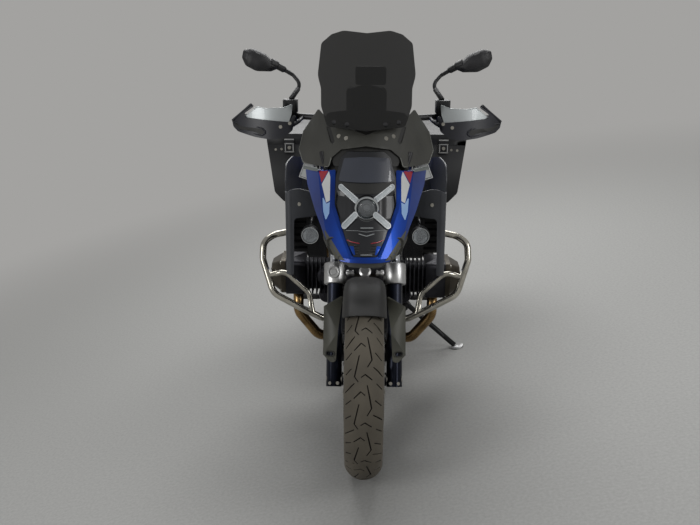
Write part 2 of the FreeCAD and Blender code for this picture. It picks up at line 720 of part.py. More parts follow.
# Brake calipers over the front discs
aim = Vector(0, 76, 106)
reach, across = 175.0, 46.0
out = Vector(aim).normalize()
side_way = Vector(0, out.z, -out.y)
corners = [out * 104 + side_way * across, out * reach + side_way * (across - 8),
           out * reach - side_way * (across - 8), out * 104 - side_way * across]
caliper = prism([(p.y, p.z, 10) for p in corners], "X", S.front_disc_place - 12,
                S.front_disc_place + 20)
caliper = caliper.cut(rod((S.front_disc_place - S.disc_thickness / 2 - 2, 0, 0),
                          (S.front_disc_place + S.disc_thickness / 2 + 2, 0, 0),
                          S.front_disc_radius + 6))
caliper = in_fork(caliper)
keep("brake_calipers", [caliper, mirrored(caliper)])

keep("front_axle", rod(front_axle - X * S.front_axle_half.value,
                       front_axle + X * S.front_axle_half.value,
                       S.front_axle_radius, S.front_axle_bore))


# Chassis: frame, engine and running gear

def head_point(t, x=0.0, back=0.0):
    """A point beside the steering axis at t up the legs."""
    return fork.multVec(Vector(x, offset + back, float(t)))


frame_radius, frame_x = S.frame_tube_radius, S.frame_half.value
head_mid = head_point((S.head_low.value + S.head_high.value) / 2)
swing_pivot = Vector(0, S.wheel_base.value - 605, rear_axle.z + 82)
arm_pivot = Vector(92, 472, 566)
head = Part.makeCylinder(S.head_radius.value, float(S.head_high - S.head_low),
                         head_point(S.head_low), head_point(1) - head_point(0))
upper_tube = tube([head_mid + Vector(22, 6, -4), (82, head_mid.y + 90, head_mid.z - 90),
                   (frame_x, 620, 742), (frame_x, 820, 676),
                   (frame_x, swing_pivot.y + 2, swing_pivot.z)],
                  frame_radius, 70)
down_tube = tube([head_mid + Vector(22, 0, -12), (72, head_mid.y + 32, head_mid.z - 104),
                  (84, head_mid.y + 60, head_mid.z - 240),
                  (arm_pivot.x, arm_pivot.y + 4, arm_pivot.z + 26)], frame_radius, 70)
pivot_plate = prism([(swing_pivot.y - 58, 300, 20), (swing_pivot.y + 20, 286, 20),
                     (swing_pivot.y + 52, swing_pivot.z, 30), (swing_pivot.y + 26, 500, 20),
                     (swing_pivot.y - 40, 500, 20)], "X", frame_x - 10, frame_x + 12)
cross = rod((-frame_x, 826, 660), (frame_x, 826, 660), 14)
pivot_pin = rod((-frame_x, swing_pivot.y, swing_pivot.z), (frame_x, swing_pivot.y, swing_pivot.z),
                S.swing_pivot_radius)
shock_top = head_point(668, 0, 62)
head_cross = rod(shock_top + Vector(-66, 0, 10), shock_top + Vector(66, 0, 10), 12)
arm_bolt = rod((-arm_pivot.x - 12, arm_pivot.y, arm_pivot.z),
               (arm_pivot.x + 12, arm_pivot.y, arm_pivot.z), 9)
arm_boss = rod((arm_pivot.x - 17, arm_pivot.y, arm_pivot.z),
               (arm_pivot.x + 17, arm_pivot.y, arm_pivot.z), 22)
front_stay = tube([(arm_pivot.x, arm_pivot.y, arm_pivot.z), (arm_pivot.x + 18, 478, 470),
                   (arm_pivot.x + 18, 486, 330)], 13, 40)
stand_pivot = Vector(178, swing_pivot.y + 12, 262)
stand_out = Vector(400, stand_pivot.y - 38, 0)
stand_out.z = stand_out.x * math.tan(lean)
stand_axis = Vector(stand_pivot.z - stand_out.z, 0, stand_out.x - stand_pivot.x).normalize()
stand_lug = rod(stand_pivot - stand_axis * 34, stand_pivot - stand_axis * 12.3, 22)
stand_arm = prism([(stand_pivot.y - 24, 320), (stand_pivot.y - 24, 230, 10),
                   (stand_pivot.y + 24, 230, 10), (stand_pivot.y + 24, 320)],
                  "X", frame_x - 10, frame_x + 12)
strut_lug = rod((104, swing_pivot.y + 8, 318), (frame_x - 8, swing_pivot.y + 8, 318), 8)
stand_pin = rod(stand_pivot - stand_axis * 24, stand_pivot + stand_axis * 14,
                S.stand_pivot_radius)
engine_front, engine_side = 512.0, float(S.engine_half)
engine_lugs = [prism([(480, z), (engine_front, z), (engine_front, z + 30), (480, z + 30)], "X",
                     engine_side - 15, engine_side - 1) for z in (345, 425)]
engine_lugs += [rod((engine_side, swing_pivot.y - 46, z), (frame_x, swing_pivot.y - 46, z), 11)
                for z in (345, 462)]
frame_side = [upper_tube, down_tube, pivot_plate, arm_boss, front_stay] + engine_lugs
frame = fused([head, cross, pivot_pin, head_cross, arm_bolt, stand_lug, stand_arm, stand_pin,
               strut_lug] + frame_side + [mirrored(part) for part in frame_side])
stem_bore = Part.makeCylinder(S.stem_radius.value + S.seat_gap.value, 200,
                              head_point(S.head_low - 50), head_point(1) - head_point(0))
keep("main_frame", frame.cut(stem_bore))

# Front arm between the fork bridge and the frame
ball_mid = head_point(S.bridge_high + 27)
axis_way = (head_point(1) - head_point(0)).normalize()
eye = Part.makeCylinder(24, 34, ball_mid - axis_way * 17, axis_way)
arm_tube = tube([ball_mid + Vector(4, 22, 0), ball_mid + Vector(20, 90, -8),
                 (arm_pivot.x - 40, arm_pivot.y - 50, arm_pivot.z + 12),
                 (arm_pivot.x - 34, arm_pivot.y, arm_pivot.z)], 14, 60)
arm_eye = rod((arm_pivot.x - 58, arm_pivot.y, arm_pivot.z),
              (arm_pivot.x - 17.3, arm_pivot.y, arm_pivot.z), 19)
front_arm = fused([eye, arm_tube, arm_eye, mirrored(arm_tube), mirrored(arm_eye)])
front_arm = front_arm.cut(Part.makeCylinder(
    S.ball_pin_radius.value + S.seat_gap.value, 80, ball_mid - axis_way * 40, axis_way))
front_arm = front_arm.cut(rod((-100, arm_pivot.y, arm_pivot.z), (100, arm_pivot.y, arm_pivot.z),
                              9 + S.running_gap.value))
keep("front_arm", front_arm)

# Engine: crankcase with gearbox, and its two cylinders
engine_back = swing_pivot.y - 33
engine = new_body("engine_block")
eh = S.engine_half
pad(engine, "YZ", [[(engine_front, 300, 40), (580, 258, 30), (780, 252, 30), (830, 300, 30),
                    (engine_back, 330, 20), (engine_back, 470, 30), (800, 560, 30), (770, 650, 30),
                    (600, 650, 40), (engine_front, 600, 30)]], -1 * eh, eh)
pad(engine, "XZ", [("circle", 0, 440, 84)], engine_front - 20, engine_front + 40)
keep("engine_block", engine)

left_y, right_y = 575.0, 575.0 + S.cylinder_stagger.value
cyl_z, reach_x = S.cylinder_high.value, S.cylinder_reach.value


def cylinder(y):
    barrel = rod((S.engine_half + S.seat_gap, y, cyl_z), (236, y, cyl_z), 62)
    fins = [prism([(y - 72, cyl_z - 66, 18), (y + 72, cyl_z - 66, 18), (y + 72, cyl_z + 66, 18),
                   (y - 72, cyl_z + 66, 18)], "X", 136 + 16 * i, 141 + 16 * i) for i in range(6)]
    block = prism([(y - 76, cyl_z - 66, 16), (y + 76, cyl_z - 66, 16), (y + 76, cyl_z + 70, 16),
                   (y - 76, cyl_z + 70, 16)], "X", 230, 304)
    return fused([barrel, block] + fins)


def head_cover(y):
    lower = prism([(y - 78, cyl_z - 62, 22), (y + 78, cyl_z - 62, 22), (y + 78, cyl_z + 72, 22),
                   (y - 78, cyl_z + 72, 22)], "X", 304.3, 322)
    low = flat([(y - 74, cyl_z - 58, 22), (y + 74, cyl_z - 58, 22), (y + 74, cyl_z + 68, 22),
                (y - 74, cyl_z + 68, 22)], "X", 322).OuterWire
    high = flat([(y - 50, cyl_z - 36, 20), (y + 50, cyl_z - 36, 20), (y + 50, cyl_z + 50, 20),
                 (y - 50, cyl_z + 50, 20)], "X", reach_x).OuterWire
    ribs = [prism([(y - 56, cyl_z + rise - 3, 2), (y + 56, cyl_z + rise - 3, 2),
                   (y + 56, cyl_z + rise + 3, 2), (y - 56, cyl_z + rise + 3, 2)], "X", 330,
                  reach_x + 2) for rise in (-18, 7, 32)]
    return fused([lower, Part.makeLoft([low, high], True, True)] + ribs)


keep("cylinders", [cylinder(left_y), mirrored(cylinder(right_y))])
keep("head_covers", [head_cover(left_y), mirrored(head_cover(right_y))])

# Air box over the crankcase, with a duct to the back of each cylinder
crankcase_top = 650.0
air_box_half, duct_radius = 104.0, 22.0
air_box = prism([(602, crankcase_top + 0.3), (800, crankcase_top + 0.3), (806, 760, 20),
                 (640, 782, 20), (602, 740, 20)], "X", -air_box_half, air_box_half)
ducts = [tube([(side * 268, y + 76.4, cyl_z + 14), (side * 268, y + 125, cyl_z + 14),
               (side * 215, y + 150, cyl_z + 120), (side * 90, y + 96, crankcase_top + 40)],
              duct_radius, 60) for side, y in ((1, left_y), (-1, right_y))]
keep("intake_ducts", fused([air_box] + ducts))

# Headers under the engine, collector and silencer on the right
pipe = 20.0
header_left = tube([(262, left_y, cyl_z - 66.3), (262, left_y, 340), (180, left_y + 30, 226),
                    (70, left_y + 160, 222), (70, left_y + 260, 222)], pipe, 60)
header_right = tube([(-262, right_y, cyl_z - 66.3), (-262, right_y, 340),
                     (-180, right_y + 20, 226), (-70, right_y + 130, 222),
                     (-70, left_y + 260, 222)], pipe, 60)
collector = prism([(-110, 196, 24), (110, 196, 24), (110, 262, 24), (-110, 262, 24)], "Y",
                  left_y + 258, left_y + 330)
tail_pipe = tube([(-80, left_y + 320, 228), (-96, left_y + 400, 232),
                  (-158, left_y + 500, 330), (-163, left_y + 590, 446)], 24, 90)
keep("exhaust_header", fused([header_left, header_right, collector, tail_pipe]))
silencer_way = Vector(-6, 430, 118)
silencer_from = Vector(-164, left_y + 586, 452)
silencer_face = [(-52, -78, 30), (44, -78, 30), (52, 30, 30), (30, 78, 30), (-40, 78, 30)]
front_face = Part.Wire([e.toShape() for e in rounded_loop(
    [(a * 0.7, b * 0.6, r * 0.7) for a, b, r in silencer_face])])
rear_face = Part.Wire([e.toShape() for e in rounded_loop(silencer_face)])
turn = Rotation(X, Z, -Y, "ZXY")
front_face.Placement = Placement(silencer_from, turn)
mid_face = rear_face.copy()
mid_face.Placement = Placement(silencer_from + silencer_way * 0.3, turn)
rear_face.Placement = Placement(silencer_from + silencer_way, turn)
silencer = Part.makeLoft([front_face, mid_face, rear_face], True, True)
outlet = silencer_from + silencer_way
silencer = silencer.cut(rod(outlet - Vector(0, 120, 0), outlet + Vector(0, 10, 0), 22))
keep("silencer", silencer.cut(tail_pipe))

# Swing arm with the shaft inside, final drive, torque strut and rear shock
arm_in = 96.0
arm_front = swing_pivot.y - 28
side_arm = prism([(arm_front, swing_pivot.z - 40, 30),
                  (swing_pivot.y + 120, swing_pivot.z - 52, 40),
                  (rear_axle.y - 110, rear_axle.z - 36, 20),
                  (rear_axle.y - 108, rear_axle.z + 40, 20),
                  (swing_pivot.y + 160, swing_pivot.z + 40, 60),
                  (arm_front, swing_pivot.z + 44, 30)], "X", arm_in, arm_in + 22)
cross_arm = prism([(arm_front, swing_pivot.z - 36, 20),
                   (swing_pivot.y + 110, swing_pivot.z - 36, 30),
                   (swing_pivot.y + 110, swing_pivot.z + 36, 30),
                   (arm_front, swing_pivot.z + 36, 20)], "X", -arm_in - 8, arm_in + 4)
shaft_tube = rod((128, swing_pivot.y + 60, swing_pivot.z - 8),
                 (134, rear_axle.y - 104, rear_axle.z + 6), 42)
swing = fused([side_arm, cross_arm, shaft_tube]).cut(
    rod((-140, swing_pivot.y, swing_pivot.z), (140, swing_pivot.y, swing_pivot.z),
        S.swing_pivot_radius + S.running_gap))
drive_in = rear_hub_out + 3
strut_foot = Vector(0, rear_axle.y - 20, rear_axle.z - 106)
drive = fused([
    rod(rear_axle + X * drive_in, rear_axle + X * (rear_shaft_end - 22), 92),
    rod(rear_axle + X * (drive_in + 10), rear_axle + X * (rear_shaft_end - 4), 62),
    rod(rear_axle + Vector(134, -103.7, 6), rear_axle + Vector(134, -40, 2), 46),
    prism([(strut_foot.y - 16, strut_foot.z - 12, 8), (strut_foot.y + 16, strut_foot.z - 12, 8),
           (strut_foot.y + 22, strut_foot.z + 30), (strut_foot.y - 22, strut_foot.z + 30)],
          "X", 124, 142),
    rod((104, strut_foot.y, strut_foot.z), (126, strut_foot.y, strut_foot.z), 8)])
drive = drive.cut(rod((0, rear_axle.y, rear_axle.z), (300, rear_axle.y, rear_axle.z),
                      S.rear_axle_radius + S.seat_gap))
strut_head = Vector(0, swing_pivot.y + 8, 318)
strut = fused([rod((113, strut_head.y, strut_head.z), (113, strut_foot.y, strut_foot.z), 8),
               rod((106, strut_head.y, strut_head.z), (120, strut_head.y, strut_head.z), 15),
               rod((106, strut_foot.y, strut_foot.z), (120, strut_foot.y, strut_foot.z), 15)])
for end in (strut_head, strut_foot):
    strut = strut.cut(rod((100, end.y, end.z), (130, end.y, end.z), 8 + S.running_gap))
keep("swing_arm", [swing, strut])
keep("final_drive", seated(drive, "swing_arm"))


def coil_over(low, high, coil, wire):
    """A damper with its spring, drawn as stacked rings round a sleeve."""
    way = (high - low).normalize()
    length = (high - low).Length
    parts = [rod(low, high, 11), rod(low + way * 30, low + way * (length * 0.5), 22),
             rod(low + way * 44, low + way * 52, coil + 4),
             rod(high - way * 44, high - way * 34, coil + 4)]
    turns = 7
    for i in range(turns):
        at = low + way * (52 + (length - 96) * (i + 0.5) / turns)
        ring = Part.makeTorus(coil - wire, wire, at, way)
        parts.append(ring)
    parts.append(rod(low + way * 48, high - way * 40, coil - wire))
    return parts


rear_shock = fused(coil_over(Vector(-10, swing_pivot.y + 80, swing_pivot.z + 36.3),
                             Vector(-10, 830, 646), 34, 6))
keep("rear_shock", seated(rear_shock, "main_frame", "swing_arm"))
front_low = Vector(0, ball_mid.y + 118, ball_mid.z - 2)
front_shock = fused(coil_over(front_low, shock_top, 32, 6))
keep("front_shock", seated(front_shock, "main_frame", "front_arm"))


# Body panels

def skin(nose, high, slope, bow, half, wall, low, top):
    """A bowed panel that leans back as it rises: y = nose + slope * (z - high) + bow * x2"""
    y0 = nose + slope * (low - high)
    places = [half * step / 3 for step in range(-3, 4)]
    front = [Vector(x, y0 + bow * x * x, low) for x in places]
    rear = [point + Vector(0, wall, 0) for point in reversed(front)]
    edges = []
    for row in (front, rear):
        edges += [Part.Arc(*row[i:i + 3]).toShape() for i in (0, 2, 4)]
        after = rear[0] if row is front else front[0]
        edges.append(Part.LineSegment(row[-1], after).toShape())
    return Part.Face(Part.Wire(edges)).extrude(Vector(0, slope * (top - low), top - low))


wall = S.panel_wall.value
nose_form = (-90, 757, 0.67, 0.0035, 225)
cowl_form = (60, 1000, 0.75, 0.004, 240)
screen_form = (130, 1130, 1.0, 0.002, 175)
beak = skin(*nose_form, wall, 730, 1020).common(prism(both([
    (0, 753), (76, 753, 10), (125, 804, 60), (164, 873, 60), (195, 940, 60), (204, 988, 8),
    (97.5, 1005, 4), (98, 906, 30), (61, 814, 30), (36, 770, 5), (0, 770)]), "Y", -200, 500))
keep("front_fairing", beak)
lamp_depth = 46.0
lamp = skin(*nose_form, lamp_depth, 740, 1090).common(prism(both([
    (0, 770.4), (35.6, 770.4, 5), (60.6, 814.2, 30), (97.6, 906, 30), (97.1, 984, 20),
    (80, 1043, 10), (58, 1064, 10), (0, 1064)]), "Y", -200, 500))
lens_mid = Vector(4, 0, 904)
lens_front = nose_form[0] + nose_form[2] * (lens_mid.z - nose_form[1])
lamp = lamp.cut(rod((lens_mid.x, lens_front - 60, lens_mid.z),
                    (lens_mid.x, lens_front + 14, lens_mid.z), 40))
lens = rod((lens_mid.x, lens_front + 10, lens_mid.z), (lens_mid.x, lens_front + 20, lens_mid.z), 36)
lens = lens.fuse(rod((lens_mid.x, lens_front - 4, lens_mid.z),
                     (lens_mid.x, lens_front + 12, lens_mid.z), 30))
# Light bars: (x, z) at the inner end, (x, z) at the outer end
light_bars = [((30, 926), (84, 960)), ((32, 886), (72, 853)), ((-30, 926), (-78, 960)),
              ((-32, 886), (-66, 853))]
bars = []
for (a, b), (c, d) in light_bars:
    run = Vector(c - a, 0, d - b).normalize() * 8
    bars.append(skin(nose_form[0] - 3, *nose_form[1:], 7, 740, 1090).common(prism(
        [(a - run.z, b + run.x, 4), (a + run.z, b - run.x, 4), (c + run.z, d - run.x, 4),
         (c - run.z, d + run.x, 4)], "Y", -200, 500)))
keep("headlight", fused([lamp, lens] + bars))

# Dark lining behind the beak, which shows round its lower edge
lining_form = (nose_form[0] + wall + S.seat_gap.value,) + nose_form[1:]
lining = skin(*lining_form, 3.0, 730, 1000).common(prism(both([
    (0, 735), (48, 736, 18), (110, 755, 22), (133, 800, 40), (152, 862, 60), (140, 930, 40),
    (97, 962, 10), (97, 990), (0, 990)]), "Y", -200, 500))
lamp_hole = prism(both([(0, 769.8), (36.2, 769.8, 5), (61.2, 814, 30), (98.2, 906, 30),
                        (97.8, 1000), (0, 1000)]), "Y", -300, 500)
keep("nose_lining", lining.cut(lamp_hole))
cowl = skin(*cowl_form, wall, 980, 1200).common(prism(both([
    (0, 1080), (79, 1067, 10), (109, 1042, 10), (122, 1014, 8), (213, 1002, 10),
    (230, 1034, 14), (213, 1100, 40), (161, 1179, 6), (142, 1163, 20), (0, 1112)]), "Y", -200, 600))
screen = skin(*screen_form, 4.0, 1100, 1440).common(prism(both([
    (0, 1419, 40), (81, 1427, 50), (122, 1414, 20), (158, 1384, 18), (166, 1284, 60),
    (152, 1246, 40), (149, 1193, 40), (126, 1136, 14), (0, 1128)]), "Y", -200, 700))
keep("windscreen", screen)
posts = [rod((side * a, 150, z), (side * a, 250, z), 9)
         for side in (-1, 1) for a, z in ((62, 1142), (128, 1160))]
behind = skin(*screen_form, 60.0, 1100, 1440)
before_cowl = skin(*cowl_form, -80.0, 980, 1250)
posts = fused(posts).common(behind).common(before_cowl)
keep("cockpit_cowl", seated(fused([cowl] + [post for post in posts.Solids]), "windscreen"))

# The carrier that holds nose, cowl, screen and dash to the steering head
carrier_y = 96.0
beam = prism([(carrier_y + 14, 940, 4), (340, 940, 4), (334, 966, 4), (carrier_y + 14, 976, 4)],
             "X", -24, 24)
plate = prism([(60, 900, 4), (carrier_y + 26, 900, 4), (carrier_y + 26, 980, 4), (104, 980, 4)],
              "X", -118, 118)
plate = plate.cut(skin(*nose_form, lamp_depth + 0.3, 740, 1090).common(
    prism([(-200, 700), (200, 700), (200, 1200), (-200, 1200)], "Y", -200, 500)))
beam = beam.cut(Part.makeCylinder(S.head_radius.value, 300, head_point(S.head_low - 100),
                                  head_point(1) - head_point(0)))
cowl_arm = tube([(110, 116, 930), (124, 134, 985), (146, 181, 1050)], 8, 30)
dash_arm = tube([(18, 232, 960), (40, 236, 1040), (40, 250, 1130), (40, 334, 1190)], 8, 40)
carrier_parts = [beam, plate, cowl_arm, mirrored(cowl_arm), dash_arm, mirrored(dash_arm)]

dash = prism(both([(0, 1132), (62, 1132, 10), (68, 1160, 10), (68, 1240, 14), (0, 1252)]),
             "Y", 330, 366)
keep("instrument_display", dash)
unit = prism([(-38, 1252.3, 8), (66, 1252.3, 8), (66, 1312, 8), (-38, 1312, 8)], "Y", 340, 372)
keep("navigation_unit", unit)
keep("fairing_carrier", seated(fused(carrier_parts), "main_frame", "cockpit_cowl",
                               "instrument_display", "headlight", "front_fairing"))

# Fuel tank between two side panels
tank_side = [(452, 900, 20), (470, 985, 60), (540, 1046, 60), (700, 1052, 60), (792, 960, 40),
             (812, 812, 16), (690, 800, 30), (560, 842, 40)]
tank_plan = both([(0, 440), (120, 440, 40), (176, 620, 60), (120, 760, 60), (92, 830, 10),
                  (0, 830)])
tank = prism(tank_side, "X", -190, 190)
tank = tank.common(prism(tank_plan, "Z", 700, 1200))
tank = tank.common(prism(both([(0, 780), (176, 780), (176, 950, 40), (110, 1052, 60), (0, 1060)]),
                         "Y", 300, 1000))
filler = rod((0, 560, 1030), (0, 560, 1057), 44)
tank_feet = [prism([(636, 740), (664, 740), (664, 850), (636, 850)], "X", a, b)
             for a, b in ((118, 146), (-146, -118))]
keep("fuel_tank", seated(fused([tank, filler] + tank_feet), "main_frame"))

radiator = prism([(140, 640, 8), (206, 640, 8), (212, 820, 8), (140, 820, 8)], "Y", 352, 392)
stays = [rod((146, 386, 772), (82, 418, 760), 8), rod((146, 386, 676), (88, 444, 666), 8)]
radiator = seated(fused([radiator] + stays), "main_frame")
keep("radiators", [radiator, mirrored(radiator)])

# Side shrouds: a face to the front over a narrow strip, bent round to the tank's side
shroud_wall = 4.0
shroud_plan = [(152, 322), (205, 296), (256, 288), (272, 292), (279, 308), (284, 420),
               (256, 580), (200, 722)]


def shroud_arcs(inset):
    """The shroud's section: an arc, a tight bend and a long arc, moved inwards."""
    shift = [(0, inset), (0, inset), (0, inset), (-0.7 * inset, 0.7 * inset), (-inset, 0),
             (-inset, 0), (-inset, 0), (-inset, 0)]
    spots = [Vector(a + c, b + d, 0) for (a, b), (c, d) in zip(shroud_plan, shift)]
    return [Part.Arc(*spots[0:3]), Part.Arc(*spots[2:5]), Part.Arc(spots[4], spots[5], spots[6]),
            Part.LineSegment(spots[6], spots[7])], spots


outer_arcs, outer_spots = shroud_arcs(0.0)
inner_arcs, inner_spots = shroud_arcs(shroud_wall)
band = Part.Wire(Part.__sortEdges__([e.toShape() for e in outer_arcs + inner_arcs + [
    Part.LineSegment(outer_spots[0], inner_spots[0]),
    Part.LineSegment(outer_spots[-1], inner_spots[-1])]]))
shroud = Part.Face(band).extrude(Vector(0, 0, 460))
shroud.translate(Vector(0, 0, 560))
shroud_front = [(150, 806, 4), (160, 838, 20), (190, 892, 30), (225, 904, 20), (252, 903, 10),
                (300, 878), (300, 592), (252, 592, 8), (248, 800, 14)]
shroud_side = [(280, 594), (336, 594, 14), (352, 690, 30), (440, 742, 40), (560, 806, 60),
               (700, 852, 30), (726, 892, 20), (650, 950, 60), (520, 976, 60), (400, 968, 60),
               (322, 912, 20), (280, 904)]
shroud = shroud.common(prism(shroud_side, "X", 120, 300)).common(fused([
    prism(shroud_front, "Y", 270, 334), prism([(100, 560), (320, 560), (320, 1000),
                                               (100, 1000)], "Y", 333, 760)]))
shroud_pegs = [rod((200, 374, 790), (280, 374, 790), 8), rod((160, 620, 900), (238, 620, 900), 8)]
shroud = seated(fused([shroud] + shroud_pegs), "radiators", "fuel_tank")

# Covers below the seat, in the corner of the rear frame
side_cover = prism([(858, 700, 20), (902, 784, 12), (1142, 796, 10), (1150, 784, 6),
                    (1068, 660, 24), (968, 606, 24), (878, 630, 24)], "X", 151, 155)
cover_pegs = [rod((128, 906, 776), (152, 906, 776), 7), rod((138, 1046, 646), (152, 1046, 646), 7)]
aux = rod((188, 214, 760), (188, 262, 760), 30)
aux_stay = tube([(188, 250, 770), (188, 300, 786), (188, 351.7, 790)], 7, 30)
aux = seated(fused([aux, aux_stay]), "radiators")
keep("auxiliary_lamps", [aux, mirrored(aux)])

# Crash bars round the engine and the side panels
bar_lower = [(112, 482, 372), (150, 444, 368), (250, 440, 420), (344, 452, 468), (386, 494, 590),
             (384, 516, 650), (346, 540, 672), (250, 548, 690), (166, 576, 730), (128, 598, 758)]
cb = S.crash_bar_radius
loop_bar = tube(bar_lower, cb, 60)
second = tube([(366, 474, 528), (300, 462, 552), (210, 456, 470), (196, 441, 394)], 10, 40)
loop_bar = fused([loop_bar, second])
loop_bar = seated(loop_bar, "main_frame", "front_arm")
keep("crash_bars", [loop_bar, mirrored(loop_bar)])

# Skid plate, bent up at the front, with low sides
skid_half = 96.0
skid = prism([(760, 181), (508, 181, 60), (452, 296, 6), (456, 299), (511, 185, 56), (760, 185)],
             "X", -skid_half, skid_half)
skid_side = prism([(760, 181), (508, 181, 60), (452, 296), (470, 296), (524, 198, 40),
                   (760, 198, 6)], "X", skid_half - 1, skid_half + 3)
posts = [rod((a, b, 182), (a, b, 290), 9) for a in (-30, 30) for b in (600, 730)]
keep("skid_plate", seated(fused([skid, skid_side, mirrored(skid_side)] + posts), "engine_block"))

# Rear frame, carriers for the cases, rack and tail
rr = S.rear_tube_radius
rear_side = [
    tube([(frame_x, 812, 690), (130, 900, 782), (122, 1200, 796), (96, 1640, 832)], rr, 120),
    tube([(frame_x - 2, swing_pivot.y - 20, 470), (140, 1060, 640), (120, 1240, 790)], rr, 120)]
rear_cross = [rod((-a, y, z), (a, y, z), 10) for a, y, z in ((118, 1240, 797), (97, 1620, 830))]
keep("rear_frame", seated(fused(rear_side + [mirrored(p) for p in rear_side] + rear_cross),
                          "main_frame"))
side_cover = seated(fused([side_cover] + cover_pegs), "rear_frame")
keep("side_shrouds", [shroud, mirrored(shroud), side_cover, mirrored(side_cover)])

# Seats
seat_top = S.seat_high.value
rider = prism([(816, seat_top - 30, 10), (800, seat_top + 6, 14), (900, seat_top - 6, 80),
               (1060, seat_top, 80), (1122, seat_top + 34, 10), (1130, seat_top - 6, 6),
               (1120, seat_top - 40, 6), (850, seat_top - 40, 10)], "X", -180, 180)
rider = rider.common(prism(both([(0, 770), (92, 770, 20), (150, 960, 80), (166, 1140, 20),
                                 (0, 1140)]), "Z", 700, 1000))
feet = [rod((a, b, 782), (a, b, 830), 12) for a in (-124, 124) for b in (960, 1090)]
keep("rider_seat", seated(fused([rider] + feet), "rear_frame"))
pillion = prism([(1136, seat_top - 12, 6), (1138, seat_top + 50, 30), (1300, seat_top + 66, 80),
                 (1470, seat_top + 78, 30), (1486, seat_top + 50, 20), (1470, seat_top + 8, 14),
                 (1300, seat_top - 8, 60)], "X", -160, 160)
pillion = pillion.common(prism(both([(0, 1130), (150, 1130, 30), (146, 1300, 80),
                                     (118, 1490, 40), (0, 1490)]), "Z", 700, 1000))
feet = [rod((side * a, b, 790), (side * a, b, 868), 12)
        for side in (-1, 1) for a, b in ((119, 1250), (106, 1430))]
keep("pillion_seat", seated(fused([pillion] + feet), "rear_frame"))

ci = S.case_inner.value
carrier_x = ci - 8.3
case_mid = float(S.case_front + S.case_length / 2)
carrier_bar = [
    tube([(122, 1170, 795), (180, 1172, 800), (carrier_x, 1190, 850), (carrier_x, 1290, 862),
          (carrier_x, case_mid + 130, 862), (carrier_x, case_mid + 180, 820),
          (carrier_x, case_mid + 160, 740), (carrier_x, 1260, 716), (carrier_x, 1200, 700),
          (160, 1150, 690), (134, 1100, 668)], 8, 40),
    tube([(carrier_x, case_mid + 176, 830), (170, case_mid + 200, 846), (100, case_mid + 210, 829)],
         8, 40)]
carrier = seated(fused(carrier_bar), "rear_frame")
keep("case_carriers", [carrier, mirrored(carrier)])

rack_z = 948.0
rack = prism(both([(0, 1492), (96, 1492, 20), (112, 1560, 40), (84, 1710, 40), (0, 1722)]),
             "Z", rack_z - 8, rack_z)
for a in (1516, 1602, 1672):
    rack = rack.cut(prism(both([(0, a), (64, a, 8), (60, a + 30, 8), (0, a + 30)]), "Z", 900, 1000))
rack_mid, rack_hole, rack_square = Vector(0, 1612, rack_z), 3.3, 80.0
for a in (-1, 1):
    for b in (-1, 1):
        at = rack_mid + Vector(a, b, 0) * (rack_square / 2)
        rack = rack.cut(rod(at - Z * 20, at + Z * 20, rack_hole))
legs = [tube([(76, 1540, rack_z - 6), (84, 1540, 890), (101, 1548, 826)], 8, 20),
        tube([(72, 1690, rack_z - 6), (78, 1664, 890), (96, 1634, 832)], 8, 20)]
keep("luggage_rack", seated(fused([rack] + legs + [mirrored(p) for p in legs]), "rear_frame"))
tail = prism([(1560, 828), (1560, 796), (1700, 770, 20), (1796, 640, 20), (1874, 470),
              (1890, 474), (1814, 660, 20), (1740, 800, 20), (1660, 828)], "X", -42, 42)
plate_holder = prism([(1818, 652), (1882, 482), (1886, 484), (1822, 654)], "X", -92, 92)
signals = [rod((-128, 1792, 690), (128, 1792, 690), 6)]
signals += [Part.makeSphere(17, Vector(side * 134, 1792, 690)) for side in (-1, 1)]
tail_lamp = prism([(-60, 796, 14), (60, 796, 14), (52, 846, 14), (-52, 846, 14)], "Y", 1660, 1716)
keep("tail_unit", seated(fused([tail, tail_lamp, plate_holder] + signals), "rear_frame",
                         "luggage_rack"))

mudguard_r = S.rear_tyre_radius.value + 14
mud = turned([(-94, mudguard_r - 30), (-94, mudguard_r - 4), (-84, mudguard_r + 3),
              (84, mudguard_r + 3), (94, mudguard_r - 4), (94, mudguard_r - 30),
              (91, mudguard_r - 30), (91, mudguard_r - 5), (83, mudguard_r),
              (-83, mudguard_r), (-91, mudguard_r - 5), (-91, mudguard_r - 30)])
mud.Placement = Placement(rear_axle, Rotation())
mud = mud.common(prism([(rear_axle.y - 400, rear_axle.z + 60), (rear_axle.y - 60, rear_axle.z + 60),
                        (rear_axle.y + 60, rear_axle.z + 500), (rear_axle.y - 400, rear_axle.z + 500)],
                       "X", -200, 200))
keep("rear_mudguard", mud)

pegs = tube([(frame_x + 12.3, swing_pivot.y - 30, 318), (frame_x + 60, swing_pivot.y - 60, 316),
             (frame_x + 150, swing_pivot.y - 60, 316)], 12, 20)
pegs = seated(pegs, "main_frame")
keep("footrests", [pegs, mirrored(pegs)])


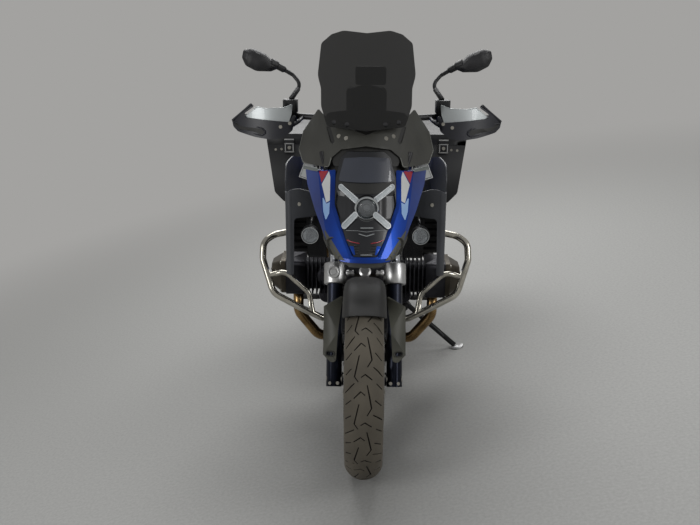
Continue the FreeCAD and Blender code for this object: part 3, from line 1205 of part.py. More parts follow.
# Cases with their lids, hinged at the rear
def case(lid):
    inner, outer = S.case_inner.value, S.case_outer.value
    low, rim, top = S.case_low.value, S.case_rim.value, S.case_top.value
    front, back = float(S.case_front), float(S.case_front + S.case_length)
    w = S.case_wall.value
    gap = S.seat_gap.value

    if not lid:
        outline = [(inner, low, 14), (outer - 74, low, 20), (outer - 32, low + 44, 30),
                   (outer - 4, rim), (inner, rim)]
        hollow = [(inner + w, low + w, 11), (outer - 74 - w, low + w, 17),
                  (outer - 32 - w, low + 44 + w, 27), (outer - 4 - w, rim + 5), (inner + w, rim + 5)]
        shell = prism(outline, "Y", front, back).cut(prism(hollow, "Y", front + w, back - w))
    else:
        outline = [(inner, rim + gap), (outer - 4, rim + gap), (outer, top - 12, 8),
                   (outer - 14, top, 8), (inner + 10, top, 8), (inner, top - 10, 8)]
        hollow = [(inner + w, rim - 5), (outer - 4 - w, rim - 5), (outer - w, top - 12 - w, 6),
                  (outer - 16, top - w, 6), (inner + 12, top - w, 6), (inner + w, top - 14, 6)]
        shell = prism(outline, "Y", front, back).cut(prism(hollow, "Y", front + w, back - w))
    pin = Vector(0, back + 9, rim + 1.7)
    knuckles = []
    places = [(290, 310), (340, 360)] if not lid else [(310.5, 339.5)]
    for a, b in places:
        knuckles.append(rod((a, pin.y, pin.z), (b, pin.y, pin.z), 7.5))
        web_low, web_high = (rim - 14, rim) if not lid else (pin.z, rim + 16)
        knuckles.append(prism([(back - 1, web_low), (pin.y, pin.z - 6 if not lid else pin.z),
                               (pin.y, pin.z if not lid else pin.z + 6), (back - 1, web_high)],
                              "X", a, b))
    shell = fused([shell] + knuckles)
    bore = S.hinge_pin_radius + S.running_gap
    if lid:
        shell = shell.cut(rod((280, pin.y, pin.z), (370, pin.y, pin.z), bore))
        latch = prism([(front - 9, rim - 34, 3), (front - 0.6, rim - 34), (front - 0.6, rim + 6),
                       (front + 1, rim + 6), (front + 1, rim + 26), (front - 9, rim + 26, 3)],
                      "X", 318, 356)
        shell = fused([shell, latch])
    else:
        shell = fused([shell, rod((291, pin.y, pin.z), (359, pin.y, pin.z), S.hinge_pin_radius)])
    return shell, pin


box, case_pin = case(False)
cover, case_pin = case(True)
keep("pannier_left", box)
keep("pannier_right", mirrored(box))
keep("pannier_lid_left", cover)
keep("pannier_lid_right", mirrored(cover))

# Side stand, swung out
leg_way = (stand_out - stand_pivot).normalize()
leg = rod(stand_pivot + leg_way * 10, stand_out - leg_way * 13, 11)
eye = rod(stand_pivot - stand_axis * 12, stand_pivot + stand_axis * 12, 20)
foot_up = Vector(-math.sin(lean), 0, math.cos(lean))
foot = Part.makeCylinder(30, 7, stand_out, foot_up)
spur = rod(stand_pivot + leg_way * 190, stand_pivot + leg_way * 190 + Vector(12, -70, 8), 6)
stand = fused([leg, eye, foot, spur]).cut(
    rod(stand_pivot - stand_axis * 40, stand_pivot + stand_axis * 40,
        S.stand_pivot_radius + S.running_gap))
keep("side_stand", stand)


# Parked: leant over, with the origin below the middle of the whole bike, on the ground
doc.recompute()
tilt = Placement(Vector(0, 0, 0), Rotation(Y, S.lean_angle.value))
whole = Part.makeCompound([node.Shape for node in nodes.values()])
whole.Placement = tilt
box_round = whole.optimalBoundingBox(False)
parked = Placement(Vector(-box_round.Center.x, -box_round.Center.y, -box_round.ZMin),
                   Rotation()).multiply(tilt)
for node in nodes.values():
    node.Placement = parked.multiply(node.Placement)
doc.recompute()

for thing in doc.Objects:
    if "Invalid" in thing.State or "Error" in thing.State:
        raise RuntimeError("%s: %s" % (thing.Label, thing.State))
for label, node in nodes.items():
    if node.Shape.isNull() or not node.Shape.isValid() or not node.Shape.Solids:
        raise RuntimeError(label + " has no valid shape")
for label, node in nodes.items():
    node.Shape.exportStep("parts/%s.step" % label)
print(len(nodes), "nodes", [round(v, 2) for v in (
    box_round.XLength, box_round.YLength, box_round.ZLength)],
      "ground", round(box_round.ZMin, 3), "shift", parked.Base)
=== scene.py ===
import json
import math

import bmesh
import bpy
from mathutils import Matrix, Vector, geometry


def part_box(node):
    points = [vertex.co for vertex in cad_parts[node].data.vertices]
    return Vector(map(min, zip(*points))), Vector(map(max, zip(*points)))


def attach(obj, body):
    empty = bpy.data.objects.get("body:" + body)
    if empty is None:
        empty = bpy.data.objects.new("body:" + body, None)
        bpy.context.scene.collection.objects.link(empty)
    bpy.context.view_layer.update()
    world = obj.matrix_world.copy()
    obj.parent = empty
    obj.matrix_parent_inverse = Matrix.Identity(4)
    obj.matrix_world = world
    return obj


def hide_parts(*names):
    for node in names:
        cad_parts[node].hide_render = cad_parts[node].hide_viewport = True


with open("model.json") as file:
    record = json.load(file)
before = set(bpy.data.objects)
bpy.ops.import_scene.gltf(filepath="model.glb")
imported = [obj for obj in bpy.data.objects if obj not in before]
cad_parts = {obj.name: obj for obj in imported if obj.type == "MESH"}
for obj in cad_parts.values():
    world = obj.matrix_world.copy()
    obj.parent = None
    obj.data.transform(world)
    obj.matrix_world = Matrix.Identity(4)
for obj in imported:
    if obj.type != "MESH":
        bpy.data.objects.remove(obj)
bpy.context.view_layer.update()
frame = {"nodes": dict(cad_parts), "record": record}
nodes = frame["nodes"]
print("frame loaded:", len(nodes), "nodes")

# The bike is drawn upright, in millimetres, with the front axle over the origin, the front
# towards -Y and its left side towards +X. The matrix parked leans it over on its stand.
bike = {"lean": math.radians(11), "rake": math.radians(26.2), "wheelBase": 1518,
        "frontTyre": 325, "frontCrown": 64, "rearTyre": 318, "rearCrown": 95, "legPlace": 100}
bike["frontAxle"] = bike["frontTyre"] - bike["frontCrown"] * (1 - 1 / math.cos(bike["lean"]))
bike["rearAxle"] = bike["rearTyre"] - bike["rearCrown"] * (1 - 1 / math.cos(bike["lean"]))
mm = 0.001
axleLow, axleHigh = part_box("front_axle")
leanOver = Matrix.Rotation(bike["lean"], 4, "Y")
parked = (Matrix.Translation((axleLow + axleHigh) / 2
                             - leanOver @ Vector((0, 0, bike["frontAxle"] * mm)))
          @ leanOver @ Matrix.Scale(mm, 4))
upright = parked.inverted()
forkPlace = (Matrix.Translation((0, 0, bike["frontAxle"]))
             @ Matrix.Rotation(-bike["rake"], 4, "X"))    # z up the legs from the axle
bodyOf = {label: body for body, labels in frame["record"]["behaviour"]["bodies"].items()
          for label in labels}
sides = (1, -1)


# Colours and shader nodes

def linear(code):                # sRGB hex to the linear colour that the shaders take
    parts = [int(code[i:i + 2], 16) / 255 for i in (1, 3, 5)]
    return tuple(c / 12.92 if c <= 0.04045 else ((c + 0.055) / 1.055) ** 2.4
                 for c in parts) + (1.0,)


def addNode(tree, kind, links=None, values=None, **settings):
    made = tree.nodes.new(kind)
    for key, value in settings.items():
        setattr(made, key, value)
    for key, value in (values or {}).items():
        made.inputs[key].default_value = value
    for key, source in (links or {}).items():
        tree.links.new(source, made.inputs[key])
    return made


def newFinish(name):             # an empty material, its shader and its place in metres
    made = bpy.data.materials.new(name)
    made.use_nodes = True
    tree = made.node_tree
    shader = tree.nodes["Principled BSDF"]
    place = addNode(tree, "ShaderNodeTexCoord").outputs["Object"]
    return made, tree, shader, place


def setShader(shader, **values):
    for key, value in values.items():
        shader.inputs[key.replace("_", " ")].default_value = value


def mixedColour(tree, factor, dark, light, low=0.3, high=0.7):
    ramp = addNode(tree, "ShaderNodeValToRGB", {"Fac": factor})
    ramp.color_ramp.elements[0].color = linear(dark)
    ramp.color_ramp.elements[1].color = linear(light)
    ramp.color_ramp.elements[0].position = low
    ramp.color_ramp.elements[1].position = high
    return ramp.outputs["Color"]


def spread(tree, factor, low, high):
    return addNode(tree, "ShaderNodeMapRange", {"Value": factor},
                   {"To Min": low, "To Max": high}).outputs["Result"]


def mouldedPlastic(name, dark, light, rough=(0.5, 0.68), grain=1.4, depth=0.12, coat=0.0):
    # spark-eroded grain, drawn as coarse as it shows: a soft broken sheen with faint dust
    made, tree, shader, place = newFinish(name)
    patches = addNode(tree, "ShaderNodeTexNoise", {"Vector": place},
                      {"Scale": 9.0, "Detail": 5.0, "Roughness": 0.6})
    pores = addNode(tree, "ShaderNodeTexVoronoi", {"Vector": place},
                    {"Scale": 1 / (grain * mm)})
    bump = addNode(tree, "ShaderNodeBump", {"Height": pores.outputs["Distance"]},
                   {"Strength": 0.35, "Distance": depth * mm})
    links = {"Base Color": mixedColour(tree, patches.outputs["Fac"], dark, light),
             "Roughness": spread(tree, patches.outputs["Fac"], *rough),
             "Normal": bump.outputs["Normal"]}
    for key, value in links.items():
        tree.links.new(value, shader.inputs[key])
    setShader(shader, IOR=1.49, Coat_Weight=coat)
    return made


def lacquer(name, dark, light, flake=0.9, metal=0.55, rough=0.34, coat=1.0):
    # base coat with flakes under clear lacquer: deep colour and a hard highlight
    made, tree, shader, place = newFinish(name)
    drift = addNode(tree, "ShaderNodeTexNoise", {"Vector": place},
                    {"Scale": 6.0, "Detail": 3.0})
    flakes = addNode(tree, "ShaderNodeTexVoronoi", {"Vector": place},
                     {"Scale": 1 / (flake * mm)})
    bump = addNode(tree, "ShaderNodeBump", {"Height": flakes.outputs["Distance"]},
                   {"Strength": 0.12, "Distance": 0.08 * mm})
    tree.links.new(mixedColour(tree, drift.outputs["Fac"], dark, light),
                   shader.inputs["Base Color"])
    tree.links.new(bump.outputs["Normal"], shader.inputs["Normal"])
    setShader(shader, Metallic=metal, Roughness=rough, IOR=1.5, Coat_Weight=coat,
              Coat_Roughness=0.04)
    return made


def castMetal(name, dark, light, metal=0.85, rough=(0.42, 0.6), grain=1.8):
    # cast, then painted or blasted: an even pebbled skin with grime in patches
    made, tree, shader, place = newFinish(name)
    pebbles = addNode(tree, "ShaderNodeTexNoise", {"Vector": place},
                      {"Scale": 1 / (grain * mm), "Detail": 4.0, "Roughness": 0.65})
    grime = addNode(tree, "ShaderNodeTexNoise", {"Vector": place},
                    {"Scale": 14.0, "Detail": 6.0, "Roughness": 0.7})
    bump = addNode(tree, "ShaderNodeBump", {"Height": pebbles.outputs["Fac"]},
                   {"Strength": 0.4, "Distance": 0.3 * mm})
    tree.links.new(mixedColour(tree, grime.outputs["Fac"], dark, light),
                   shader.inputs["Base Color"])
    tree.links.new(spread(tree, grime.outputs["Fac"], *rough), shader.inputs["Roughness"])
    tree.links.new(bump.outputs["Normal"], shader.inputs["Normal"])
    setShader(shader, Metallic=metal)
    return made


def drawnSteel(name, dark, light, rough=(0.12, 0.3), lines=(36, 36, 720), metal=1.0):
    # drawn or ground metal: fine lines one way that stretch the highlight
    made, tree, shader, place = newFinish(name)
    along = addNode(tree, "ShaderNodeMapping", {"Vector": place}, {"Scale": lines})
    scratches = addNode(tree, "ShaderNodeTexNoise", {"Vector": along.outputs["Vector"]},
                        {"Scale": 4.0, "Detail": 5.0, "Roughness": 0.7})
    smears = addNode(tree, "ShaderNodeTexNoise", {"Vector": place},
                     {"Scale": 20.0, "Detail": 4.0})
    bump = addNode(tree, "ShaderNodeBump", {"Height": scratches.outputs["Fac"]},
                   {"Strength": 0.15, "Distance": 0.08 * mm})
    tree.links.new(mixedColour(tree, smears.outputs["Fac"], dark, light),
                   shader.inputs["Base Color"])
    tree.links.new(spread(tree, scratches.outputs["Fac"], *rough),
                   shader.inputs["Roughness"])
    tree.links.new(bump.outputs["Normal"], shader.inputs["Normal"])
    setShader(shader, Metallic=metal)
    return made


def clearMoulding(name, tint, solid=0.2, rough=0.03, ior=1.49):
    # thin acrylic or polycarbonate: lets most light straight through, with a hard gloss
    made, tree, shader, place = newFinish(name)
    haze = addNode(tree, "ShaderNodeTexNoise", {"Vector": place},
                   {"Scale": 30.0, "Detail": 4.0})
    tree.links.new(spread(tree, haze.outputs["Fac"], rough, rough + 0.05),
                   shader.inputs["Roughness"])
    setShader(shader, Base_Color=linear(tint), Alpha=solid, IOR=ior)
    return made


finishes = {
    # vulcanised rubber, dulled by dust: brown-grey, never shiny
    "tread": mouldedPlastic("vulcanisedTreadRubber", "#4d483f", "#5d574c", (0.72, 0.88),
                            2.2, 0.2),
    # groove floors and walls: painted shade, near black, darker than the rubber's own colour on the
    # sidewall
    "groove": mouldedPlastic("treadGroovePaintedShade", "#15130f", "#1e1b17", (0.8, 0.92), 2.2, 0.2),
    "sidewall": mouldedPlastic("tyreSidewallRubber", "#1b1a18", "#262421", (0.6, 0.75), 2.0,
                               0.15),
    # powder coat over aluminium: even black with a low sheen
    "rim": castMetal("blackPowderCoatRim", "#131315", "#1c1c1f", 0.2, (0.38, 0.5), 1.2),
    "hub": castMetal("darkAnodisedHub", "#1c1c1f", "#2a2a2e", 0.7, (0.32, 0.45), 1.2),
    "spoke": drawnSteel("drawnStainlessSpoke", "#8f9194", "#b8babd", (0.18, 0.32)),
    # ground stainless: bright rings with heat tint
    "disc": drawnSteel("groundDiscSteel", "#7d7b78", "#a3a19c", (0.2, 0.36), (36, 480, 480)),
    "anodised": castMetal("hardAnodisedSlider", "#11141d", "#1b2030", 0.7, (0.26, 0.38), 1.0),
    "chrome": drawnSteel("hardChromeStanchion", "#b9bcc2", "#dcdfe4", (0.04, 0.1),
                         (720, 720, 36)),
    # blasted and clear-coated casting: bright satin silver
    "silver": castMetal("satinSilverCasting", "#a4a5a6", "#c6c6c5", 0.9, (0.26, 0.4), 1.2),
    # enamel and powder coat on steel: an even low sheen; zinc plate: pale glints
    "satin": castMetal("satinBlackEnamel", "#131315", "#1e1e21", 0.3, (0.35, 0.5), 1.2),
    "frame": castMetal("darkFramePowderCoat", "#151517", "#202023", 0.3, (0.4, 0.55), 1.2),
    "zinc": castMetal("zincPlatedScrew", "#8f8d86", "#bab7ae", 1.0, (0.25, 0.4), 0.9),
    # moulded rubber and glass-filled plastics: dull black, the guards glossier
    "rubber": mouldedPlastic("mouldedGripRubber", "#101010", "#181818", (0.7, 0.85), 1.0,
                             0.2),
    "nylon": mouldedPlastic("glassFilledNylon", "#121214", "#1b1b1e", (0.45, 0.62)),
    "guard": mouldedPlastic("handGuardPolyamide", "#15161b", "#20212a", (0.34, 0.5)),
    # painted panel: flat bright silver with a soft highlight
    "silverPaint": lacquer("silverPaintedPanel", "#a7acad", "#b9bebf", 1.2, 0.35, 0.4, 0.5),
    # unpainted grained plastic that has greyed a little: olive-grey
    "panel": mouldedPlastic("grainedBodyPlastic", "#2b2b27", "#393934", (0.48, 0.62)),
    "dark": mouldedPlastic("darkInnerPlastic", "#121211", "#1c1c1a", (0.5, 0.65)),
    # metallic base coat and printed films under lacquer: deep blue, flat stripes
    "blue": lacquer("blueMetallicLacquer", "#002674", "#0042a6", 0.9, 0.75, 0.36, 0.35),
    "decal": lacquer("whiteStripeFilm", "#c4c6c6", "#d6d8d7", 1.2, 0.0, 0.3, 0.6),
    "red": lacquer("redStripeFilm", "#8e1426", "#a81c31", 1.2, 0.1, 0.3, 0.6),
    # lamp face: polished black, smoked cover, frosted bars that look pale unlit
    "gloss": lacquer("pianoBlackPlastic", "#0b0c10", "#121419", 0.9, 0.0, 0.34, 0.25),
    "smoke": lacquer("smokedLampCover", "#262a35", "#2d323e", 1.4, 0.0, 0.3),
    "bar": mouldedPlastic("frostedLightBar", "#b9bec1", "#d3d7d9", (0.25, 0.4), 1.6, 0.2, 0.6),
    # sand-cast aluminium, painted: pebbled and dark, the head covers bronze
    "engine": castMetal("darkCrankcaseCasting", "#232327", "#36363b", 0.75, (0.4, 0.55)),
    "cover": castMetal("bronzeHeadCover", "#37332c", "#4c463c", 0.7, (0.36, 0.5), 1.4),
    # stainless: straw to bronze where it runs hot, brushed or polished elsewhere
    "exhaust": drawnSteel("heatTintedStainless", "#6a553a", "#a4875c", (0.2, 0.34),
                          (480, 48, 480)),
    "can": drawnSteel("brushedSilencerShell", "#6c6b69", "#8b8a87", (0.26, 0.4),
                      (480, 36, 480)),
    "spring": lacquer("springEnamel", "#b8bcc2", "#d2d6da", 1.4, 0.1, 0.35, 0.4),
    "tube": drawnSteel("polishedStainlessTube", "#a09d94", "#cbc7bb", (0.12, 0.26)),
    # acrylic and polycarbonate: see-through with a hard gloss
    "screen": clearMoulding("smokedAcrylic", "#191918", 0.8),
    "lens": clearMoulding("clearPolycarbonateLens", "#dfe4e8", 0.1, 0.02, 1.58),
    "redLens": clearMoulding("redTailLens", "#8a1018", 0.75, 0.05, 1.58),
    "amberLens": clearMoulding("amberIndicatorLens", "#c86a12", 0.8, 0.05, 1.58),
    # silvered glass and vapour-coated plastic: near-perfect reflections
    "mirror": drawnSteel("silveredMirrorGlass", "#c9ced1", "#d9dde0", (0.01, 0.02)),
    "reflector": drawnSteel("vapourCoatedReflector", "#aeb2b5", "#d5d9db", (0.05, 0.12)),
    "display": lacquer("displayCoverGlass", "#08090c", "#0e1014", 1.5, 0.0, 0.12),
    # seat cover: embossed vinyl with a faint sheen, sewn with dull thread
    "vinyl": mouldedPlastic("grainedSeatVinyl", "#141416", "#1f1f22", (0.5, 0.66), 2.4, 0.4),
    "thread": mouldedPlastic("seatSeamThread", "#3c3c40", "#4a4a4e", (0.6, 0.75), 1.0, 0.2),
    # moulded shells and trims, near black to grey, each with its own dull grain
    "case": mouldedPlastic("mouldedCaseShell", "#0a0b0d", "#121316", (0.42, 0.58), 1.6),
    "sky": lacquer("paleBlueStripeFilm", "#7fa6d8", "#a9c6ea", 1.2, 0.1, 0.3, 0.6),
    "frost": mouldedPlastic("ribbedLightGuide", "#a3aaad", "#bdc3c6", (0.3, 0.45), 1.6, 0.2, 0.5),
    "cowlBar": mouldedPlastic("greyRibbedBar", "#5c6160", "#757a78", (0.4, 0.55), 2.0, 0.3),
    "slotGrey": mouldedPlastic("slotLiningPlastic", "#3f3f4c", "#565663", (0.4, 0.55), 1.6),
    # pale grey cord along the cowl's lower edge: a painted highlight, lighter than the cowl's own
    # plastic
    "rimGrey": mouldedPlastic("cowlRimPaintedHighlight", "#5d5e59", "#73746e", (0.4, 0.55), 1.6),
    "shroud": mouldedPlastic("greyShroudPlastic", "#34363a", "#43454a", (0.45, 0.6), 1.6),
    "brushed": drawnSteel("brushedSkidPlate", "#7e7f80", "#9c9d9e", (0.3, 0.45), (480, 24, 480)),
    "legCover": mouldedPlastic("oliveGreyLegCover", "#42423b", "#525249", (0.45, 0.6), 1.6),
    "fender": mouldedPlastic("blackFenderPlastic", "#0a0a08", "#121210", (0.5, 0.62), 1.6),
    "bowl": mouldedPlastic("vapourCoatedLampBowl", "#7b8083", "#b4b9bc", (0.2, 0.32), 3.2, 0.9,
                           0.8),
    "core": mouldedPlastic("radiatorCoreFins", "#060607", "#121214", (0.5, 0.7), 2.4, 0.9),
}
print("finishes:", len(finishes))


# Shapes, drawn upright in millimetres

def roundedLoop(points, steps=6):
    # closed outline from (a, b) or (a, b, corner radius)
    loop = []
    for i, point in enumerate(points):
        here = Vector(point[:2])
        before = Vector(points[i - 1][:2]) - here
        after = Vector(points[(i + 1) % len(points)][:2]) - here
        radius = point[2] if len(point) > 2 else 0
        turn = before.angle(after)
        if not radius or turn > math.pi - 0.01:
            loop.append(here)
            continue
        reach = min(radius / math.tan(turn / 2), 0.49 * min(before.length, after.length))
        radius = reach * math.tan(turn / 2)
        middle = here + (before.normalized() + after.normalized()).normalized() * (
            radius / math.sin(turn / 2))
        first = here + before.normalized() * reach - middle
        last = here + after.normalized() * reach - middle
        sweep = first.angle_signed(last)
        for step in range(steps + 1):
            angle = -sweep * step / steps
            loop.append(middle + Matrix.Rotation(angle, 2) @ first)
    return loop


def bothSides(half):             # an outline from its half at x >= 0, middle to middle
    return list(half) + [(-p[0],) + tuple(p[1:]) for p in reversed(half) if p[0] > 0]


def rectangle(left, low, right, high):
    return [(left, low), (right, low), (right, high), (left, high)]


def circleOf(count, radius):
    return [(radius * math.cos(2 * math.pi * i / count), radius * math.sin(2 * math.pi * i / count))
            for i in range(count)]


def inside(point, loop):
    hit = False
    for i, a in enumerate(loop):
        b = loop[i - 1]
        if (a[1] > point[1]) != (b[1] > point[1]):
            if point[0] < (b[0] - a[0]) * (point[1] - a[1]) / (b[1] - a[1]) + a[0]:
                hit = not hit
    return hit


def flatMesh(loops, grid, box, keep, lines=()):
    # triangles of a plane, cut along every loop and line, with grid points between
    points, edges = [], []
    for line in lines:
        edges += [(len(points) + i, len(points) + i + 1) for i in range(len(line) - 1)]
        points += [Vector(p[:2]) for p in line]
    for loop in loops:
        first = len(points)
        points += [Vector(p[:2]) for p in loop]
        edges += [(first + i, first + (i + 1) % len(loop)) for i in range(len(loop))]
    low, high = box
    columns = max(1, round((high[0] - low[0]) / grid))
    rows = max(1, round((high[1] - low[1]) / grid))
    for i in range(columns + 1):
        for j in range(rows + 1):
            points.append(Vector((low[0] + (high[0] - low[0]) * i / columns,
                                  low[1] + (high[1] - low[1]) * j / rows)))
    spots, _, faces, _, _, _ = geometry.delaunay_2d_cdt(points, edges, [], 0, 1e-4)
    kept = []
    for face in faces:
        middle = sum((spots[i] for i in face), Vector((0, 0))) / len(face)
        if keep(middle):
            kept.append(face)
    return spots, kept


def panel(outline, height, grid=16, holes=(), wall=0.0, lines=()):
    # a panel seen from the front: (x, z) outline on a surface y = height(x, z)
    loops = [outline] + list(holes)
    box = ((min(p[0] for p in outline), min(p[1] for p in outline)),
           (max(p[0] for p in outline), max(p[1] for p in outline)))
    spots, faces = flatMesh(loops, grid, box, lambda m: inside(m, outline)
                            and not any(inside(m, hole) for hole in holes), lines)
    made = bmesh.new()
    corners = {}
    for face in faces:
        for i in face:
            if i not in corners:
                x, z = spots[i]
                corners[i] = made.verts.new((x, height(x, z), z))
        made.faces.new([corners[i] for i in face])
    bmesh.ops.recalc_face_normals(made, faces=made.faces)
    if made.faces and sum(face.normal.y for face in made.faces) > 0:
        bmesh.ops.reverse_faces(made, faces=made.faces)
    if wall:
        thicken(made, wall)
    return made


def thicken(made, wall):         # closed shell, its second face a wall behind, along +Y
    front = list(made.faces)
    copy = bmesh.ops.duplicate(made, geom=list(made.verts) + list(made.edges) + front)
    back = [g for g in copy["geom"] if isinstance(g, bmesh.types.BMFace)]
    pairs = copy["vert_map"]
    for vert in {v for face in back for v in face.verts}:
        vert.co.y += wall
    bmesh.ops.reverse_faces(made, faces=back)
    for edge in [e for e in made.edges if e.is_boundary and e.link_faces[0] in front]:
        a, b = edge.verts
        made.faces.new([b, a, pairs[a], pairs[b]])
    bmesh.ops.recalc_face_normals(made, faces=made.faces)


def skinRings(made, rings, capped=True):
    # faces between neighbouring rings of corners; a ring of one corner is a pole
    count = max(len(ring) for ring in rings)
    for a, b in zip(rings, rings[1:]):
        for i in range(count):
            j = (i + 1) % count
            corners = [a[i % len(a)], a[j % len(a)], b[j % len(b)], b[i % len(b)]]
            corners = [c for n, c in enumerate(corners) if c not in corners[:n]]
            if len(corners) > 2:
                made.faces.new(corners)
    for ring in (rings[0], rings[-1]) if capped else ():
        if len(ring) > 1:
            made.faces.new(ring)


def lathe(profile, centre, way, segments=48):
    # (along, radius) profile turned about an axis; a radius of 0 closes an end
    made = bmesh.new()
    turn = Vector(way).to_track_quat("Z", "Y").to_matrix()
    rings = [[made.verts.new(Vector(centre) + turn @ Vector((a, b, along)))
              for a, b in circleOf(segments if radius > 1e-6 else 1, radius)]
             for along, radius in profile]
    skinRings(made, rings, profile[0] != profile[-1])
    bmesh.ops.remove_doubles(made, verts=made.verts, dist=0.001)
    bmesh.ops.recalc_face_normals(made, faces=made.faces)
    return made


def roundedWay(points, bend, steps=7):
    # straight runs with rounded bends, as one list of points
    way = [Vector(points[0])]
    for i in range(1, len(points) - 1):
        here = Vector(points[i])
        before, after = Vector(points[i - 1]) - here, Vector(points[i + 1]) - here
        turn = before.angle(after)
        reach = min(bend / math.tan(turn / 2), 0.48 * min(before.length, after.length))
        a, b = here + before.normalized() * reach, here + after.normalized() * reach
        way += [(a * (1 - t) + here * t) * (1 - t) + (here * (1 - t) + b * t) * t
                for t in [s / steps for s in range(steps + 1)]]
    way.append(Vector(points[-1]))
    return way


def sweep(points, radius, bend=40, segments=16, radii=None):
    # a closed bent rod; radii may taper it from point to point
    way = roundedWay(points, bend)
    made = bmesh.new()
    rings, up = [], Vector((0.13, 0.27, 1)).normalized()
    for i, spot in enumerate(way):
        ahead = (way[min(i + 1, len(way) - 1)] - way[max(i - 1, 0)]).normalized()
        across = ahead.cross(up).normalized()
        up = across.cross(ahead).normalized()
        size = radius if radii is None else radii[0] + (radii[1] - radii[0]) * i / (len(way) - 1)
        rings.append([made.verts.new(spot + across * a + up * b)
                      for a, b in circleOf(segments, size)])
    skinRings(made, rings)
    bmesh.ops.recalc_face_normals(made, faces=made.faces)
    return made


def block(outline, axis, start, end, chamfer=0.0):
    # a bar across an axis: (y, z) for X, (x, z) for Y, (x, y) for Z, with broken edges
    made = bmesh.new()
    put = {"X": lambda a, b, c: (c, a, b), "Y": lambda a, b, c: (a, c, b),
           "Z": lambda a, b, c: (a, b, c)}[axis]
    rows = []
    middle = sum((Vector(p) for p in outline), Vector((0, 0))) / len(outline)
    levels = [(start, 0.0), (end, 0.0)]
    if chamfer:
        levels = [(start, chamfer), (start + chamfer, 0), (end - chamfer, 0), (end, chamfer)]
    for level, inset in levels:
        row = []
        for p in outline:
            spot = Vector(p)
            spot += (middle - spot).normalized() * inset
            row.append(made.verts.new(put(spot[0], spot[1], level)))
        rows.append(row)
    skinRings(made, rows)
    bmesh.ops.recalc_face_normals(made, faces=made.faces)
    return made


def toMesh(shape, name="part"):
    mesh = bpy.data.meshes.new(name)
    shape.to_mesh(mesh)
    shape.free()
    return mesh


def joined(shapes):
    whole = bmesh.new()
    for shape in shapes:
        mesh = toMesh(shape)
        whole.from_mesh(mesh)
        bpy.data.meshes.remove(mesh)
    return whole


def withMirror(shape):           # the shape and its mirror image across the bike
    other = shape.copy()
    bmesh.ops.transform(other, matrix=Matrix.Scale(-1, 4, (1, 0, 0)), verts=other.verts)
    bmesh.ops.reverse_faces(other, faces=other.faces)
    return joined([shape, other])


def moved(shape, matrix):
    bmesh.ops.transform(shape, matrix=matrix, verts=shape.verts)
    return shape


def painted(shape, index, test=lambda middle: True):
    for face in shape.faces:
        if test(face.calc_center_median()):
            face.material_index = index
    return shape


def settle(name, shape, keys, body="chassis", replaced=(), crease=32):
    # the finished piece: leant over with the bike, riding on its body
    mesh = toMesh(moved(shape, parked), name)
    for key in [keys] if isinstance(keys, str) else keys:
        mesh.materials.append(finishes[key])
    mesh.polygons.foreach_set("use_smooth", [True] * len(mesh.polygons))
    mesh.set_sharp_from_angle(angle=math.radians(crease))
    thing = bpy.data.objects.new(name, mesh)
    bpy.context.scene.collection.objects.link(thing)
    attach(thing, body)
    if replaced:
        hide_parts(*replaced)
    return thing


def cadShape(label):             # a CAD node's mesh, merged, upright in millimetres
    made = bmesh.new()
    made.from_mesh(nodes[label].data)
    moved(made, upright @ nodes[label].matrix_world)
    bmesh.ops.remove_doubles(made, verts=made.verts, dist=0.02)
    return made


def skinOver(label, keys, tests=(), crease=32):
    # a smooth-shaded copy of a CAD node, with finishes for faces that a test picks
    shape = painted(cadShape(label), 0)
    for index, test in enumerate(tests, start=1):
        painted(shape, index, test)
    return settle(label + "Skin", shape, keys, bodyOf[label], [label], crease)


def skinAll(table):
    for label, key in table.items():
        skinOver(label, key)


# Geometry Nodes: copies round an axis, and screws on a list of places

def nodeTool(name, inputs):
    tree = bpy.data.node_groups.new(name, "GeometryNodeTree")
    sockets = {}
    tree.interface.new_socket("Geometry", in_out="INPUT", socket_type="NodeSocketGeometry")
    for label, kind, value in inputs:
        socket = tree.interface.new_socket(label, in_out="INPUT", socket_type=kind)
        if value is not None:
            socket.default_value = value
        sockets[label] = socket.identifier
    tree.interface.new_socket("Geometry", in_out="OUTPUT", socket_type="NodeSocketGeometry")
    given = tree.nodes.new("NodeGroupInput").outputs
    return tree, sockets, given


def toShape(mesh, tool, sockets, values, keys):
    # runs a tool on a mesh and hands back the plain result, its finishes in the keys' order
    holder = bpy.data.objects.new("holder", mesh)
    bpy.context.scene.collection.objects.link(holder)
    modifier = holder.modifiers.new("tool", "NODES")
    modifier.node_group = tool
    for label, value in values.items():
        modifier[sockets[label]] = value
    graph = bpy.context.evaluated_depsgraph_get()
    result = bpy.data.meshes.new_from_object(holder.evaluated_get(graph))
    holder.modifiers.remove(modifier)
    bpy.data.objects.remove(holder)
    order = {finishes[key].name: i for i, key in enumerate(keys)}
    places = [order.get(slot.name, 0) if slot else 0 for slot in result.materials] or [0]
    made = bmesh.new()
    made.from_mesh(result)
    for face in made.faces:
        face.material_index = places[face.material_index]
    bpy.data.meshes.remove(result)
    return made


